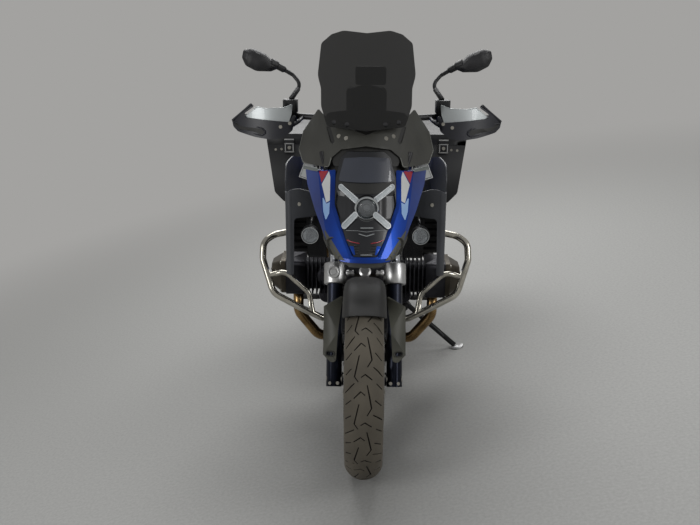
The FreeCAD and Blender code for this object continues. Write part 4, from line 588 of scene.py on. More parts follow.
def makeRingTool():
    tree, sockets, given = nodeTool("copiesRoundTheAxle", [
        ("Count", "NodeSocketInt", 12), ("Weld", "NodeSocketFloat", 0.02),
        ("Finish", "NodeSocketMaterial", None), ("Low Finish", "NodeSocketMaterial", None)])
    line = addNode(tree, "GeometryNodeMeshLine", {"Count": given["Count"]},
                   {"Offset": (0, 0, 0)})
    share = addNode(tree, "ShaderNodeMath", {1: given["Count"]}, {0: 2 * math.pi},
                    operation="DIVIDE")
    turn = addNode(tree, "ShaderNodeMath", {
        0: addNode(tree, "GeometryNodeInputIndex").outputs["Index"],
        1: share.outputs[0]}, operation="MULTIPLY")
    spin = addNode(tree, "ShaderNodeCombineXYZ", {"X": turn.outputs[0]})
    copies = addNode(tree, "GeometryNodeInstanceOnPoints", {
        "Points": line.outputs["Mesh"], "Instance": given["Geometry"],
        "Rotation": spin.outputs["Vector"]})
    real = addNode(tree, "GeometryNodeRealizeInstances", {
        "Geometry": copies.outputs["Instances"]})
    weld = addNode(tree, "GeometryNodeMergeByDistance", {
        "Geometry": real.outputs["Geometry"], "Distance": given["Weld"]})
    finish = addNode(tree, "GeometryNodeSetMaterial", {
        "Geometry": weld.outputs["Geometry"], "Material": given["Finish"]})
    low = addNode(tree, "GeometryNodeInputNamedAttribute", None, {"Name": "low"},
                  data_type="BOOLEAN")
    lowFinish = addNode(tree, "GeometryNodeSetMaterial", {
        "Geometry": finish.outputs["Geometry"], "Selection": low.outputs["Attribute"],
        "Material": given["Low Finish"]})
    addNode(tree, "NodeGroupOutput", {"Geometry": lowFinish.outputs["Geometry"]})
    return tree, sockets


def makeScrewTool():
    tree, sockets, given = nodeTool("screwsOnPlaces", [
        ("Radius", "NodeSocketFloat", 5.0), ("Height", "NodeSocketFloat", 3.0),
        ("Finish", "NodeSocketMaterial", None)])
    head = addNode(tree, "GeometryNodeMeshCylinder", {
        "Radius": given["Radius"], "Depth": given["Height"]}, {"Vertices": 20})
    flange = addNode(tree, "ShaderNodeMath", {0: given["Radius"]}, {1: 1.35},
                     operation="MULTIPLY")
    washer = addNode(tree, "GeometryNodeMeshCylinder", {"Radius": flange.outputs[0]},
                     {"Vertices": 20, "Depth": 1.2})
    across = addNode(tree, "ShaderNodeMath", {0: given["Radius"]}, {1: 0.55},
                     operation="MULTIPLY")
    proud = addNode(tree, "ShaderNodeMath", {0: given["Height"]}, {1: 1.14},
                    operation="MULTIPLY")
    drive = addNode(tree, "GeometryNodeMeshCylinder", {
        "Radius": across.outputs[0], "Depth": proud.outputs[0]}, {"Vertices": 6})
    whole = addNode(tree, "GeometryNodeJoinGeometry")
    for part in (head, washer, drive):
        tree.links.new(part.outputs["Mesh"], whole.inputs["Geometry"])
    way = addNode(tree, "GeometryNodeInputNamedAttribute", None, {"Name": "way"},
                  data_type="FLOAT_VECTOR")
    turn = addNode(tree, "FunctionNodeAlignRotationToVector", {
        "Vector": way.outputs["Attribute"]}, axis="Z")
    copies = addNode(tree, "GeometryNodeInstanceOnPoints", {
        "Points": given["Geometry"], "Instance": whole.outputs["Geometry"],
        "Rotation": turn.outputs["Rotation"]})
    real = addNode(tree, "GeometryNodeRealizeInstances", {
        "Geometry": copies.outputs["Instances"]})
    finish = addNode(tree, "GeometryNodeSetMaterial", {
        "Geometry": real.outputs["Geometry"], "Material": given["Finish"]})
    addNode(tree, "NodeGroupOutput", {"Geometry": finish.outputs["Geometry"]})
    return tree, sockets


ringTool, ringSockets = makeRingTool()
screwTool, screwSockets = makeScrewTool()


def roundAxle(shape, count, keys, weld=0.02):
    return toShape(toMesh(shape), ringTool, ringSockets,
                   {"Count": count, "Weld": weld, "Finish": finishes[keys[0]],
                    "Low Finish": finishes[keys[-1]]}, keys)


def screws(name, places, radius, height, body="chassis", key="zinc"):
    # places are ((x, y, z), (direction that the head faces))
    mesh = bpy.data.meshes.new("places")
    mesh.from_pydata([place for place, _ in places], [], [])
    ways = mesh.attributes.new("way", "FLOAT_VECTOR", "POINT")
    for i, (_, way) in enumerate(places):
        ways.data[i].vector = Vector(way).normalized()
    shape = toShape(mesh, screwTool, screwSockets,
                    {"Radius": radius, "Height": height, "Finish": finishes[key]}, [key])
    return settle(name, shape, key, body)


def mirroredPlaces(places):
    return places + [((-p[0], p[1], p[2]), (-w[0], w[1], w[2])) for p, w in places]


def lifted(surface, proud):      # a surface moved towards the front
    return lambda x, z: surface(x, z) - proud


# The surfaces that the body panels lie on, as y for a place seen from the front

def noseAt(x, z):
    return -90 + 0.67 * (z - 757) + 0.0035 * x * x


def cowlAt(x, z):
    return 60 + 0.75 * (z - 1000) + 0.004 * x * x


def screenAt(x, z):
    return 130 + 1.0 * (z - 1130) + 0.002 * x * x


# Tyres: one pitch of the tread is cut flat, wrapped round the crown and copied round

tread = {"depth": 5.0, "grid": 9.0, "groove": 4.6, "pitch": 149.0, "reach": 78.0,
         # centre lines of the grooves in mm: down the front of the front tyre, across it
         "grooves": [
             [(-66, -14.5), (0, -29), (16, -17)], [(-124, 10), (-52, 24), (-29, 10)],
             [(2, -9), (-7, 4), (9, 25)], [(-82, -31), (-104, -9), (-93, 4)],
             [(-129, -29), (-96, -67)], [(-75, -40), (-56, -65)], [(-25, -40), (-6, -65)],
             [(-76, 35), (-54, 62)], [(-30, 29), (-2, 67)], [(-128, 40), (-108, 65)]]}


def grooveLoop(line, width):     # a closed band round a bent centre line, narrow at its ends
    left, right = [], []
    for i, spot in enumerate(line):
        ahead = (line[min(i + 1, len(line) - 1)] - line[max(i - 1, 0)]).normalized()
        across = Vector((-ahead.y, ahead.x)) * width / 2
        across *= 0.7 if i in (0, len(line) - 1) else 1.0
        left.append(spot + across)
        right.append(spot - across)
    return left + right[::-1]


def treadCell(radius, crown, width, pitches):
    half = width / 2
    reach = math.asin(half / crown) * crown            # from the middle to the shoulder
    pitch = 2 * math.pi * radius / pitches
    loops = []
    for line in tread["grooves"]:
        for shift in (-1, 0, 1):
            spots = [Vector(((a / tread["pitch"] + shift) * pitch,
                             b * reach / tread["reach"])) for a, b in line]
            loop = grooveLoop(spots, tread["groove"])
            if max(p.x for p in loop) > 0 and min(p.x for p in loop) < pitch:
                loops.append(loop)
    columns = 12
    frameLoop = [(pitch * i / columns, -reach) for i in range(columns + 1)]
    frameLoop += [(pitch * i / columns, reach) for i in range(columns, -1, -1)]
    spots, faces = flatMesh(
        [frameLoop] + loops, tread["grid"], ((0, -reach), (pitch, reach)),
        lambda m: 0 < m.x < pitch and abs(m.y) < reach)
    made = bmesh.new()
    corners = {}

    def corner(i, low):
        if (i, low) not in corners:
            u, v = spots[i]
            depth = tread["depth"] * (1 - 0.4 * abs(v) / reach) if low else 0.0
            r = radius - crown + (crown - depth) * math.cos(v / crown)
            turn = u / radius
            corners[i, low] = made.verts.new(((crown - depth) * math.sin(v / crown),
                                              r * math.cos(turn), r * math.sin(turn)))
        return corners[i, low]

    walls = {}
    lowFaces = made.faces.layers.bool.new("low")
    for face in faces:
        middle = sum((spots[i] for i in face), Vector((0, 0))) / 3
        low = any(inside(middle, loop) for loop in loops)
        made.faces.new([corner(i, low) for i in face])[lowFaces] = low
        for a, b in zip(face, list(face[1:]) + [face[0]]):
            walls.setdefault((min(a, b), max(a, b)), []).append(low)
    for (a, b), lows in walls.items():
        if len(lows) == 2 and lows[0] != lows[1]:
            made.faces.new([corner(a, False), corner(b, False),
                            corner(b, True), corner(a, True)])[lowFaces] = True
    return made, columns


def makeTyre(name, label, axle, radius, crown, width, pitches, bead, beadHalf):
    cell, columns = treadCell(radius, crown, width, pitches)
    # the low faces, the grooves' floors and walls, take the groove finish: painted shade in the
    # grooves
    ring = roundAxle(cell, pitches, ["tread", "groove"], 0.05)
    half = width / 2
    shoulder = radius - crown + math.sqrt(crown ** 2 - half ** 2)
    lip = bead + 15
    rows = [(half, shoulder)]
    steps = 12
    for i in range(1, steps + 1):                       # bulge from the shoulder to the rim
        t = i / steps
        bulge = (2 * half + beadHalf) / 3 + 3
        a, b, c = Vector((half, shoulder)), Vector((bulge * 1.04, (lip + shoulder) / 2)), \
            Vector((beadHalf, lip))
        spot = (a * (1 - t) + b * t) * (1 - t) + (b * (1 - t) + c * t) * t
        rib = 0.9 if i in (3, 4, 9) else 0.0            # mould lines round the sidewall
        rows.append((spot.x + rib, spot.y))
    rows += [(beadHalf, bead + 1), (0.0, bead + 1)]
    side = rows + [(-x, r) for x, r in reversed(rows[:-1])]
    shell = bmesh.new()
    skinRings(shell, [[shell.verts.new((x, y, z)) for y, z in circleOf(pitches * columns, r)]
                      for x, r in side], False)
    painted(shell, 2)
    whole = joined([ring, shell])
    bmesh.ops.remove_doubles(whole, verts=whole.verts, dist=0.4)
    bmesh.ops.recalc_face_normals(whole, faces=whole.faces)
    moved(whole, Matrix.Translation(axle))
    return settle(name, whole, ["tread", "groove", "sidewall"], bodyOf[label], [label], 40)


frontAxle = Vector((0, 0, bike["frontAxle"]))
rearAxle = Vector((0, bike["wheelBase"], bike["rearAxle"]))
makeTyre("frontTyreTread", "front_tyre", frontAxle, bike["frontTyre"], bike["frontCrown"], 120,
         14, 241.3, 38.7)
makeTyre("rearTyreTread", "rear_tyre", rearAxle, bike["rearTyre"], bike["rearCrown"], 170, 14,
         216.3, 57.7)
print("tyres ready")


# Wheels: nipples, disc bobbins and hub screws, and the skins of rims and hubs

wheels = {"front": {"axle": frontAxle, "rim": 240, "edge": 40, "flange": 31,
                    "flangeRadius": 41, "discs": (62, -62), "discRadius": 152,
                    "screwRadius": 50, "disc": "front_discs"},
          "rear": {"axle": rearAxle, "rim": 215, "edge": 59, "flange": 47,
                   "flangeRadius": 57, "discs": (80,), "discRadius": 138,
                   "screwRadius": 54, "disc": "rear_disc"}}


def spokeEnds(wheel):            # the outer end and the way of four spokes in one tenth
    ends = []
    for side in sides:
        angle = 2 * math.pi * (0.5 if side > 0 else 0) / 10
        for hand, inset in ((-1, 0.0), (1, 5.5)):
            far = angle + hand * math.radians(38)
            low = Vector((side * (wheel["flange"] - inset),
                          wheel["flangeRadius"] * math.cos(angle),
                          wheel["flangeRadius"] * math.sin(angle)))
            high = Vector((side * (wheel["edge"] - 3 - inset), (wheel["rim"] - 5) * math.cos(far),
                           (wheel["rim"] - 5) * math.sin(far)))
            ends.append((high, (high - low).normalized()))
    return ends


for end, wheel in wheels.items():
    nipples = joined([lathe([(-19, 0), (-19, 2.9), (-16, 3.4), (-5, 3.4), (-4, 4.6), (2, 4.6),
                             (2, 0)], place, way, 10) for place, way in spokeEnds(wheel)])
    nipples = roundAxle(nipples, 10, ["zinc"])
    settle(end + "SpokeNipples", moved(nipples, Matrix.Translation(wheel["axle"])), "zinc",
           bodyOf[end + "_hub"])
    for n, place in enumerate(wheel["discs"]):
        out = math.copysign(1, place)
        centre = Vector((place + out * 2.5, wheel["discRadius"] - 27, 0))
        bobbin = lathe([(-5.4, 0), (-5.4, 7), (-4, 8), (0.6, 8), (1.6, 7), (1.6, 4), (0.4, 3.4),
                        (0.4, 0)], centre, (out, 0, 0), 16)
        screwHead = lathe([(0, 0), (0, 6.5), (1, 7), (4, 7), (5, 6), (5, 3.2), (2.5, 3.0),
                           (2.5, 0)], (place + out * 2.5, wheel["screwRadius"], 0),
                          (out, 0, 0), 16)
        heads = joined([roundAxle(bobbin, 10, ["zinc"]), roundAxle(screwHead, 5, ["zinc"])])
        settle("%sDiscFittings%d" % (end, n), moved(heads, Matrix.Translation(wheel["axle"])),
               "zinc", bodyOf[end + "_hub"])


def fromAxle(wheel, m):
    return math.hypot(m.y - wheel["axle"].y, m.z - wheel["axle"].z)


for end, wheel in wheels.items():
    skinOver(end + "_rim", "rim")
    skinOver(end + "_hub", ["hub", "spoke"],
             [lambda m: fromAxle(wheel, m) > wheel["flangeRadius"] + 8])
for wheel in wheels.values():
    skinOver(wheel["disc"], ["disc", "satin"],
             [lambda m: fromAxle(wheel, m) < wheel["discRadius"] - 35])
print("wheels ready")


# Fork and steering

forkInverse = forkPlace.inverted()


def isClamp(m):                  # the bridge's faces round the two legs
    spot = forkInverse @ m
    return math.hypot(abs(spot.x) - bike["legPlace"], spot.y) < 34 and 317 < spot.z < 384


skinAll({"fork_sliders": "anodised", "fork_stanchions": "chrome"})
skinOver("fork_bridge", ["satin", "silver"], [isClamp])
skinAll({"top_bridge": "satin", "handlebar": "satin", "front_axle": "zinc",
         "brake_calipers": "satin", "front_arm": "satin", "fork_guards": "legCover"})

# front fender: a crowned band over the tyre with rounded ends
fender = {"section": [(0, 339), (28, 338), (48, 333.5), (60, 325), (67, 312), (69, 300)],
          "front": 121.3, "rear": 21.3, "corner": (34.0, 62.0), "wall": 3.5}


def fenderShape():
    half = [Vector(p) for p in fender["section"]]
    lengths = [0.0]
    for a, b in zip(half, half[1:]):
        lengths.append(lengths[-1] + (b - a).length)

    def across(v):               # the section's point at v along it from the middle
        side, v = math.copysign(1, v), min(abs(v), lengths[-1] - 1e-6)
        i = max(k for k in range(len(half) - 1) if lengths[k] <= v)
        spot = half[i].lerp(half[i + 1], (v - lengths[i]) / (lengths[i + 1] - lengths[i]))
        return side * spot.x, spot.y

    made = bmesh.new()
    span = math.radians(fender["front"] - fender["rear"])
    reach = span * 339
    ends = [0.4, 1.6, 3.6, 6.5, 10, 15, 21, 28, 36]
    rows = ends + [36 + (reach - 72) * i / 30 for i in range(1, 30)]
    rows += [reach - e for e in reversed(ends)]
    layers = []
    for inner in (0.0, fender["wall"]):
        grid = []
        for s in rows:
            near = min(s, reach - s)
            along, side = fender["corner"]
            inset = side * (1 - math.sqrt(max(1 - (1 - min(near / along, 1)) ** 2, 0)))
            angle = math.radians(fender["front"]) - s / 339
            row = []
            for k in range(25):
                x, r = across((lengths[-1] - inset) * (k / 12 - 1))
                x, r = x * (1 - inner / 69), r - inner
                row.append(made.verts.new((x, r * math.cos(angle), r * math.sin(angle))))
            grid.append(row)
        layers.append(grid)
    for grid in layers:
        for a, b in zip(grid, grid[1:]):
            for k in range(24):
                made.faces.new([a[k], a[k + 1], b[k + 1], b[k]])
    top, low = layers
    for k in range(24):
        made.faces.new([top[0][k], top[0][k + 1], low[0][k + 1], low[0][k]])
        made.faces.new([top[-1][k], top[-1][k + 1], low[-1][k + 1], low[-1][k]])
    for i in range(len(rows) - 1):
        for k in (0, 24):
            made.faces.new([top[i][k], top[i + 1][k], low[i + 1][k], low[i][k]])
    bmesh.ops.recalc_face_normals(made, faces=made.faces)
    return moved(made, Matrix.Translation(frontAxle))


lugs = [moved(lathe([(0, 0), (0, 9), (26, 9), (26, 0)], (s * 66, 0, 306), (s, 0, 0), 24),
              forkPlace) for s in sides]
settle("fenderShell", joined([fenderShape()] + lugs), "fender", "steering", ["front_fender"],
       50)

# the left clamp's slotted cap and the joints between the clamps
clamp = {"radius": 38.0, "low": 316.0, "high": 388.0, "cap": 21.0}
sleeves = []
for side in sides:
    low, high, r = clamp["low"], clamp["high"], clamp["radius"]
    sleeves.append(lathe([(low, 27), (low, r - 4), (low + 1.5, r - 1.2), (low + 4, r),
                          (high - 5, r), (high - 2, r - 1.2), (high, r - 5), (high, 27),
                          (low, 27)], (side * bike["legPlace"], 0, 0), (0, 0, 1), 64))
settle("clampSleeves", moved(joined(sleeves), forkPlace), "silver", "steering")
cap = moved(lathe([(-3, 0), (-3, clamp["cap"]), (4, clamp["cap"]), (6, clamp["cap"] - 1.5),
                   (6.5, clamp["cap"] - 4), (6, clamp["cap"] - 6), (3, clamp["cap"] - 7),
                   (3, 10), (5, 9), (5, 0)],
                  (-104, -36, 352), (-0.1, -1, 0), 48), forkPlace)
settle("clampCap", cap, "silver", "steering")
joints = []
for side in sides:
    joints.append(lathe([(0, 0), (0, 10), (2, 11), (10, 11), (12, 8), (18, 8), (20, 10.5),
                         (25, 10.5), (27, 6), (27, 0)], (side * 63, -20, 352),
                        (-side, 0, 0), 24))
joints.append(lathe([(0, 0), (0, 17), (3, 20), (16, 20), (20, 14), (20, 0)], (0, -24, 352),
                    (0, -1, 0.2), 32))
settle("bridgeBosses", moved(joined(joints), forkPlace), "silver", "steering")
footWay = tuple(forkPlace.to_3x3() @ Vector((0, -1, 0)))
screws("legFootScrews", [((s * x, *(forkPlace @ Vector((0, y, -15)))[1:]), footWay)
                         for s in sides for x, y in ((87, -26.5), (112, -23.5))], 4.2, 4,
       "steering")

# leg covers: a rim round the oval hole
rims = []
for side in sides:
    loop = roundedLoop([(side * 99, 72, 8), (side * 127, 74, 8), (side * 127, 90, 8),
                        (side * 99, 88, 8)])
    way = [Vector((p.x, -32.6, p.y)) for p in loop]
    rims.append(sweep(way + [way[0]], 1.7, 1, 8))
settle("coverHoleRims", moved(joined(rims), forkPlace), "panel", "steering")


# Handlebar: grips with ribs, guards, mirrors

barClamp = Vector((0, 421.4, 1085.1))
barBend, barEnd = barClamp + Vector((262, 52, 44)), barClamp + Vector((442, 128, 24))
barRun = (barEnd - barBend).normalized()
grip = {"length": 122, "radius": 16.5, "ribs": 18}
profile = [(0, 11.3), (0, grip["radius"]), (4, grip["radius"]), (4.5, grip["radius"] - 1.2)]
for i in range(grip["ribs"]):
    start = 6 + i * 6
    profile += [(start, grip["radius"] - 1.4), (start + 0.8, grip["radius"] - 0.2),
                (start + 3.6, grip["radius"] - 0.2), (start + 4.4, grip["radius"] - 1.4)]
profile += [(grip["length"] - 5, grip["radius"] - 1), (grip["length"] - 4, grip["radius"]),
            (grip["length"], grip["radius"]), (grip["length"], 11.3), (0, 11.3)]
gripShape = lathe(profile, barEnd - barRun * 124, barRun, 36)
settle("ribbedGrips", withMirror(gripShape), "rubber", "steering", ["grips"], 40)


def islands(shape):              # the separate pieces of a shape, as lists of faces
    left, found = set(shape.faces), []
    while left:
        first = left.pop()
        group, queue = [first], [first]
        while queue:
            for edge in queue.pop().edges:
                for face in edge.link_faces:
                    if face in left:
                        left.remove(face)
                        group.append(face)
                        queue.append(face)
        found.append(group)
    return found


guardShape = painted(cadShape("hand_guards"), 0)
for group in islands(guardShape):
    if min(v.co.z for face in group for v in face.verts) > 1100:
        for face in group:
            face.material_index = 1
settle("handGuardShells", guardShape, ["guard", "silverPaint"], "steering", ["hand_guards"])


def guardFront(x):               # the front of the lower shield at z 1040, by a circle
    a, b, c = Vector((240, 401.4)), Vector((386, 409.4)), Vector((486, 477.4))
    d = 2 * (a.x * (b.y - c.y) + b.x * (c.y - a.y) + c.x * (a.y - b.y))
    ux = (a.length_squared * (b.y - c.y) + b.length_squared * (c.y - a.y)
          + c.length_squared * (a.y - b.y)) / d
    uy = (a.length_squared * (c.x - b.x) + b.length_squared * (a.x - c.x)
          + c.length_squared * (b.x - a.x)) / d
    radius = (a - Vector((ux, uy))).length
    side = -1 if a.y < uy else 1
    return uy + side * math.sqrt(max(radius ** 2 - (x - ux) ** 2, 0))


def guardAt(x, z):
    return guardFront(abs(x)) + 0.15 * (z - 1040)


def onSurface(points, height, proud, radius, bend=8, count=10):
    # a thin rod along (x, z) points, lying on a surface
    flat = roundedWay([(p[0], p[1], 0) for p in points], bend, 5)
    return sweep([Vector((p.x, height(p.x, p.y) - proud, p.y)) for p in flat], radius, 0.5,
                 count)


slot = roundedLoop([(476, 1108, 8), (366, 1094, 12), (350, 1080, 12), (366, 1068, 12),
                    (452, 1082, 12), (474, 1094, 10)])
slotRim = onSurface([tuple(p) for p in slot + slot[:1]], guardAt, 1.2, 2.6)
slotFloor = panel(roundedLoop([(470, 1104, 8), (368, 1091, 11), (355, 1080, 10),
                               (368, 1072, 10), (450, 1085, 10), (469, 1096, 8)]),
                  lifted(guardAt, 0.6), 10, wall=0.5)
settle("guardSlotRims", withMirror(slotRim), "guard", "steering")
settle("guardSlotFloors", withMirror(slotFloor), "dark", "steering")
rail = onSurface([(479, 1112), (404, 1174)], guardAt, 3.0, 4.0)
settle("guardRails", withMirror(rail), "guard", "steering")
edge = onSurface([(434, 1125), (384, 1165), (350, 1160.5), (292, 1163.5), (260, 1176)],
                 lifted(guardAt, -5.2), 0.4, 1.3, 4)
settle("guardPanelEdges", withMirror(edge), "silverPaint", "steering")
screws("guardScrews", mirroredPlaces([((300, guardAt(300, 1100) - 0.5, 1100), (0, -1, 0.15)),
                                      ((268, guardAt(268, 1112) - 0.5, 1112), (0, -1, 0.15))]),
       4.5, 3, "steering")


def softEdges(shape, width, segments=3, angle=28, test=None):
    # rounds the sharp edges of a CAD copy once its flat triangles are one face again
    bmesh.ops.dissolve_limit(shape, angle_limit=math.radians(1.5), verts=shape.verts,
                             edges=shape.edges)
    sharp = [e for e in shape.edges if len(e.link_faces) == 2
             and e.calc_face_angle(0) > math.radians(angle)
             and (test is None or test((e.verts[0].co + e.verts[1].co) / 2))]
    bmesh.ops.bevel(shape, geom=sharp, offset=width, segments=segments, profile=0.5,
                    affect="EDGES", clamp_overlap=True)
    bmesh.ops.triangulate(shape, faces=[f for f in shape.faces if len(f.verts) > 4])
    return shape


skinOver("mirrors", ["nylon", "mirror"],
         [lambda m: m.y > 511.6 and abs(m.x) > 300])
mirrorLoop = roundedLoop([(442, 1330, 14), (436, 1356, 10), (404, 1361, 24), (360, 1343, 50),
                          (310, 1293, 7), (340, 1281, 12), (392, 1282, 40), (430, 1302, 20)], 8)
mirrorLoop = [Vector((380 + (p.x - 380) * 0.955, 1318 + (p.y - 1318) * 0.955))
              for p in mirrorLoop]
bezel = sweep([Vector((p.x, 511.5, p.y)) for p in mirrorLoop + mirrorLoop[:1]], 2.0, 0.5, 8)
settle("mirrorBezels", withMirror(bezel), "nylon", "steering")
neck = sweep([(340, 503, 1311), (318, 511, 1301), (292, 518, 1286), (262, 519, 1268)], 8, 30,
             20, (17, 7))
settle("mirrorNecks", withMirror(neck), "nylon", "steering")
skinOver("bar_controls", "nylon")
print("steering ready")


# Nose: beak, lamp, lining, cowl and screen

def lineAt(line, z):             # x of a line given as (x, z), from top to bottom
    for a, b in zip(line, line[1:]):
        if b[1] <= z <= a[1]:
            return a[0] + (b[0] - a[0]) * (a[1] - z) / (a[1] - b[1])
    return line[0][0] if z > line[0][1] else line[-1][0]


beak = {"inner": [(97.5, 1005), (98, 906), (61, 814), (36, 770)],
        "ridge": [(112, 1003), (112, 930), (107, 896), (88, 850), (70, 812), (48, 766)],
        "crease": [(156, 996), (147, 930), (139, 884), (128, 838), (112, 800), (84, 764)],
        "outer": [(204, 988), (195, 940), (164, 873), (125, 804), (76, 756)]}


def beakAt(x, z):
    side = abs(x)
    ridge, crease = lineAt(beak["ridge"], z), lineAt(beak["crease"], z)
    back = 0.0
    if side < ridge:
        back = 0.6 * (ridge - side) if z > 772 else 0.0
    elif side < crease:
        back = 0.05 * (side - ridge)
    else:
        back = 0.05 * (crease - ridge) + 0.8 * (side - crease)
    if z < 764:
        back += 0.5 * (764 - z)
    return noseAt(x, z) + back + 1.0


beakLoop = roundedLoop(bothSides([
    (0, 753), (76, 753, 10), (125, 804, 60), (164, 873, 60), (195, 940, 60), (204, 988, 8),
    (97.5, 1005, 4), (98, 906, 30), (61, 814, 30), (36, 770, 5), (0, 770)]))


def drawnLines(lines):           # each line cut fine, with its mirror image
    cut = []
    for line in lines:
        spots = []
        for a, b in zip(line, line[1:]):
            count = max(1, round(math.hypot(b[0] - a[0], b[1] - a[1]) / 7))
            spots += [(a[0] + (b[0] - a[0]) * i / count, a[1] + (b[1] - a[1]) * i / count)
                      for i in range(count)]
        spots.append(line[-1])
        cut += [spots, [(-x, z) for x, z in spots]]
    return cut


beakLines = drawnLines([beak["ridge"], beak["crease"], [(0, 764), (84, 764)]])
settle("beakShell", panel(beakLoop, beakAt, 7, wall=3.5, lines=beakLines), "blue", "chassis",
       ["front_fairing"], 14)


def film(name, loop, height, key, proud=0.5, wall=0.7, grid=6):
    shape = panel(loop, lifted(height, proud), grid, wall=wall, lines=beakLines)
    settle(name, withMirror(shape), key, crease=14)


film("whiteStripes", roundedLoop([(119, 1000, 1), (114, 984), (114, 916, 2), (126, 908),
                                  (142, 958, 2)]), beakAt, "decal")
film("redStripes", roundedLoop([(153, 994, 1), (121, 1000, 1), (143, 961, 1)]), beakAt, "red")
film("paleStripes", roundedLoop([(114, 912), (125, 905, 2), (139, 925, 2), (135, 882, 2),
                                 (126, 858, 2), (115, 880, 2)]), beakAt, "sky")


def lampAt(x, z):
    return noseAt(x, z) + 3


lens = {"centre": (4, 904), "hole": 37.5}
lensCentre = Vector((4, -90 + 0.67 * (904 - 757) + 2, 904))
lensWay = (0, -1, 0)
lampLoop = roundedLoop(bothSides([
    (0, 771.5), (35, 771.5, 5), (60, 815, 30), (96.6, 906, 30), (96, 984, 20), (80, 1043, 10),
    (58, 1063, 10), (0, 1063)]))
circle = [(lens["centre"][0] + a, lens["centre"][1] + b)
          for a, b in circleOf(48, lens["hole"])]


facet = {"inner": 50, "outer": 93, "low": 850, "high": 948, "depth": 9}


def facetDepth(x, z):            # the sunk triangles beside the lens
    side = abs(x)
    if not (facet["inner"] < side < facet["outer"] and facet["low"] < z < facet["high"]):
        return 0.0
    share = min((side - facet["inner"]) / 14, 1) * min((facet["high"] - z) / 16, 1)
    return facet["depth"] * share * min((z - facet["low"]) / 16, 1)


settle("lampShell", panel(lampLoop, lambda x, z: lampAt(x, z) + facetDepth(x, z), 5,
                          [circle], 24), "gloss", "chassis", ["headlight"], 20)
plate = roundedLoop([(-70, 1043, 8), (0, 1050, 200), (74, 1043, 8), (93, 980, 6), (86, 976),
                     (-80, 976), (-87, 980, 6)])
settle("upperLampCover", panel(plate, lifted(lampAt, 3.2), 8, wall=3), "smoke", crease=20)
strip = roundedLoop([(-86, 973, 3), (92, 973, 3), (88, 952, 6), (40, 944, 20), (-34, 944, 20),
                     (-82, 952, 6)])
settle("lampStrip", panel(strip, lifted(lampAt, 2), 8, wall=2), "dark", "chassis",
       (), 20)

# lens: rings, bowl, projector and clear dome
rings = lathe([(-2, 38), (4, 38), (6, 36.5), (6, 33), (3, 31), (-8, 29), (-10, 30), (-10, 38),
               (-2, 38)], lensCentre, lensWay, 64)
settle("lensRing", rings, "reflector")
bowl = lathe([(-9, 30.5), (-16, 27), (-22, 18), (-24, 0), (-26, 0), (-25, 20), (-18, 29),
              (-9, 32)], lensCentre, lensWay, 64)
settle("lensBowl", bowl, "bowl")
iris = joined([lathe([(-20, 15), (-10, 15), (-8, 13), (-8, 11), (-20, 11), (-20, 15)],
                     lensCentre, lensWay, 48),
               lathe([(-12, 26), (-10, 26), (-10, 23), (-12, 23), (-12, 26)], lensCentre,
                     lensWay, 48)])
settle("lensIris", iris, "satin")
dome = lathe([(-9, 29), (0, 29), (5, 26), (9, 19), (11.5, 10), (12, 0), (10, 0), (9.4, 9.6),
              (7, 18), (3.2, 24.8), (-1, 27), (-9, 27), (-9, 29)], lensCentre, lensWay, 64)
settle("lensDome", dome, "lens")
ball = lathe([(-20, 0), (-19, 9), (-14, 10.5), (-8, 8), (-5.6, 4), (-5, 0)], lensCentre,
             lensWay, 40)
settle("lensProjector", ball, "lens")


def capsule(a, b, half):         # an outline with round ends from a to b
    a, b = Vector(a), Vector(b)
    way = (b - a).normalized()
    across = Vector((-way.y, way.x))
    turns = [math.pi * i / 10 for i in range(11)]
    loop = [b + (across * math.cos(t) + way * math.sin(t)) * half for t in turns]
    return loop + [a - (across * math.cos(t) + way * math.sin(t)) * half for t in turns]


lightBars = [((30, 926), (84, 960)), ((32, 886), (72, 853)), ((-30, 926), (-78, 960)),
             ((-32, 886), (-66, 853))]
frames, strips, ribs = [], [], []
for a, b in lightBars:
    outer, inner = capsule(a, b, 8.4), capsule(a, b, 5.6)
    frames.append(panel(outer, lifted(lampAt, 7), 5, [inner], 8))
    strips.append(panel(inner, lifted(lampAt, 5), 4, wall=5))
    way = (Vector(b) - Vector(a))
    for i in range(1, 12):
        spot = Vector(a) + way * i / 12
        across = Vector((-way.y, way.x)).normalized() * 5.2
        ribs.append(sweep([Vector((p.x, lampAt(p.x, p.y) - 5.2, p.y))
                           for p in (spot - across, spot + across)], 0.9, 1, 6))
settle("lightBarFrames", joined(frames), "bar", crease=30)
settle("lightBars", joined(strips), "frost", crease=30)
settle("lightBarRibs", joined(ribs), "frost")
trims = [onSurface([(-15, 850), (25, 850)], lampAt, 3, 2.6, 4),
         onSurface([(-60, 840), (-24, 842), (4, 839), (32, 842), (66, 840)], lampAt, 2, 1.1, 20),
         onSurface([(-20, 834), (4, 828), (28, 834)], lampAt, 3, 2.2, 12),
         onSurface([(-14, 777), (22, 777)], lampAt, 3, 2.2, 4)]
settle("lampBrightTrims", joined(trims), "reflector")
redTrims = [onSurface([(s * 18, 808), (s * 40, 810), (s * 57, 815)], lampAt, 2, 1.3, 10)
            for s in sides]
settle("lampRedTrims", joined(redTrims), "red")
grille = joined([onSurface([(-34 + i * 1.5, 800 - i * 7), (34 - i * 1.5, 800 - i * 7)],
                           lampAt, 1.5, 1.6, 4) for i in range(4)])
settle("lampGrille", grille, "satin")
film("blueLampCorners", roundedLoop([(50, 799, 2), (36, 799, 2), (30, 776, 2), (36, 776, 2)]),
     lampAt, "blue", 1.2, 1.2)


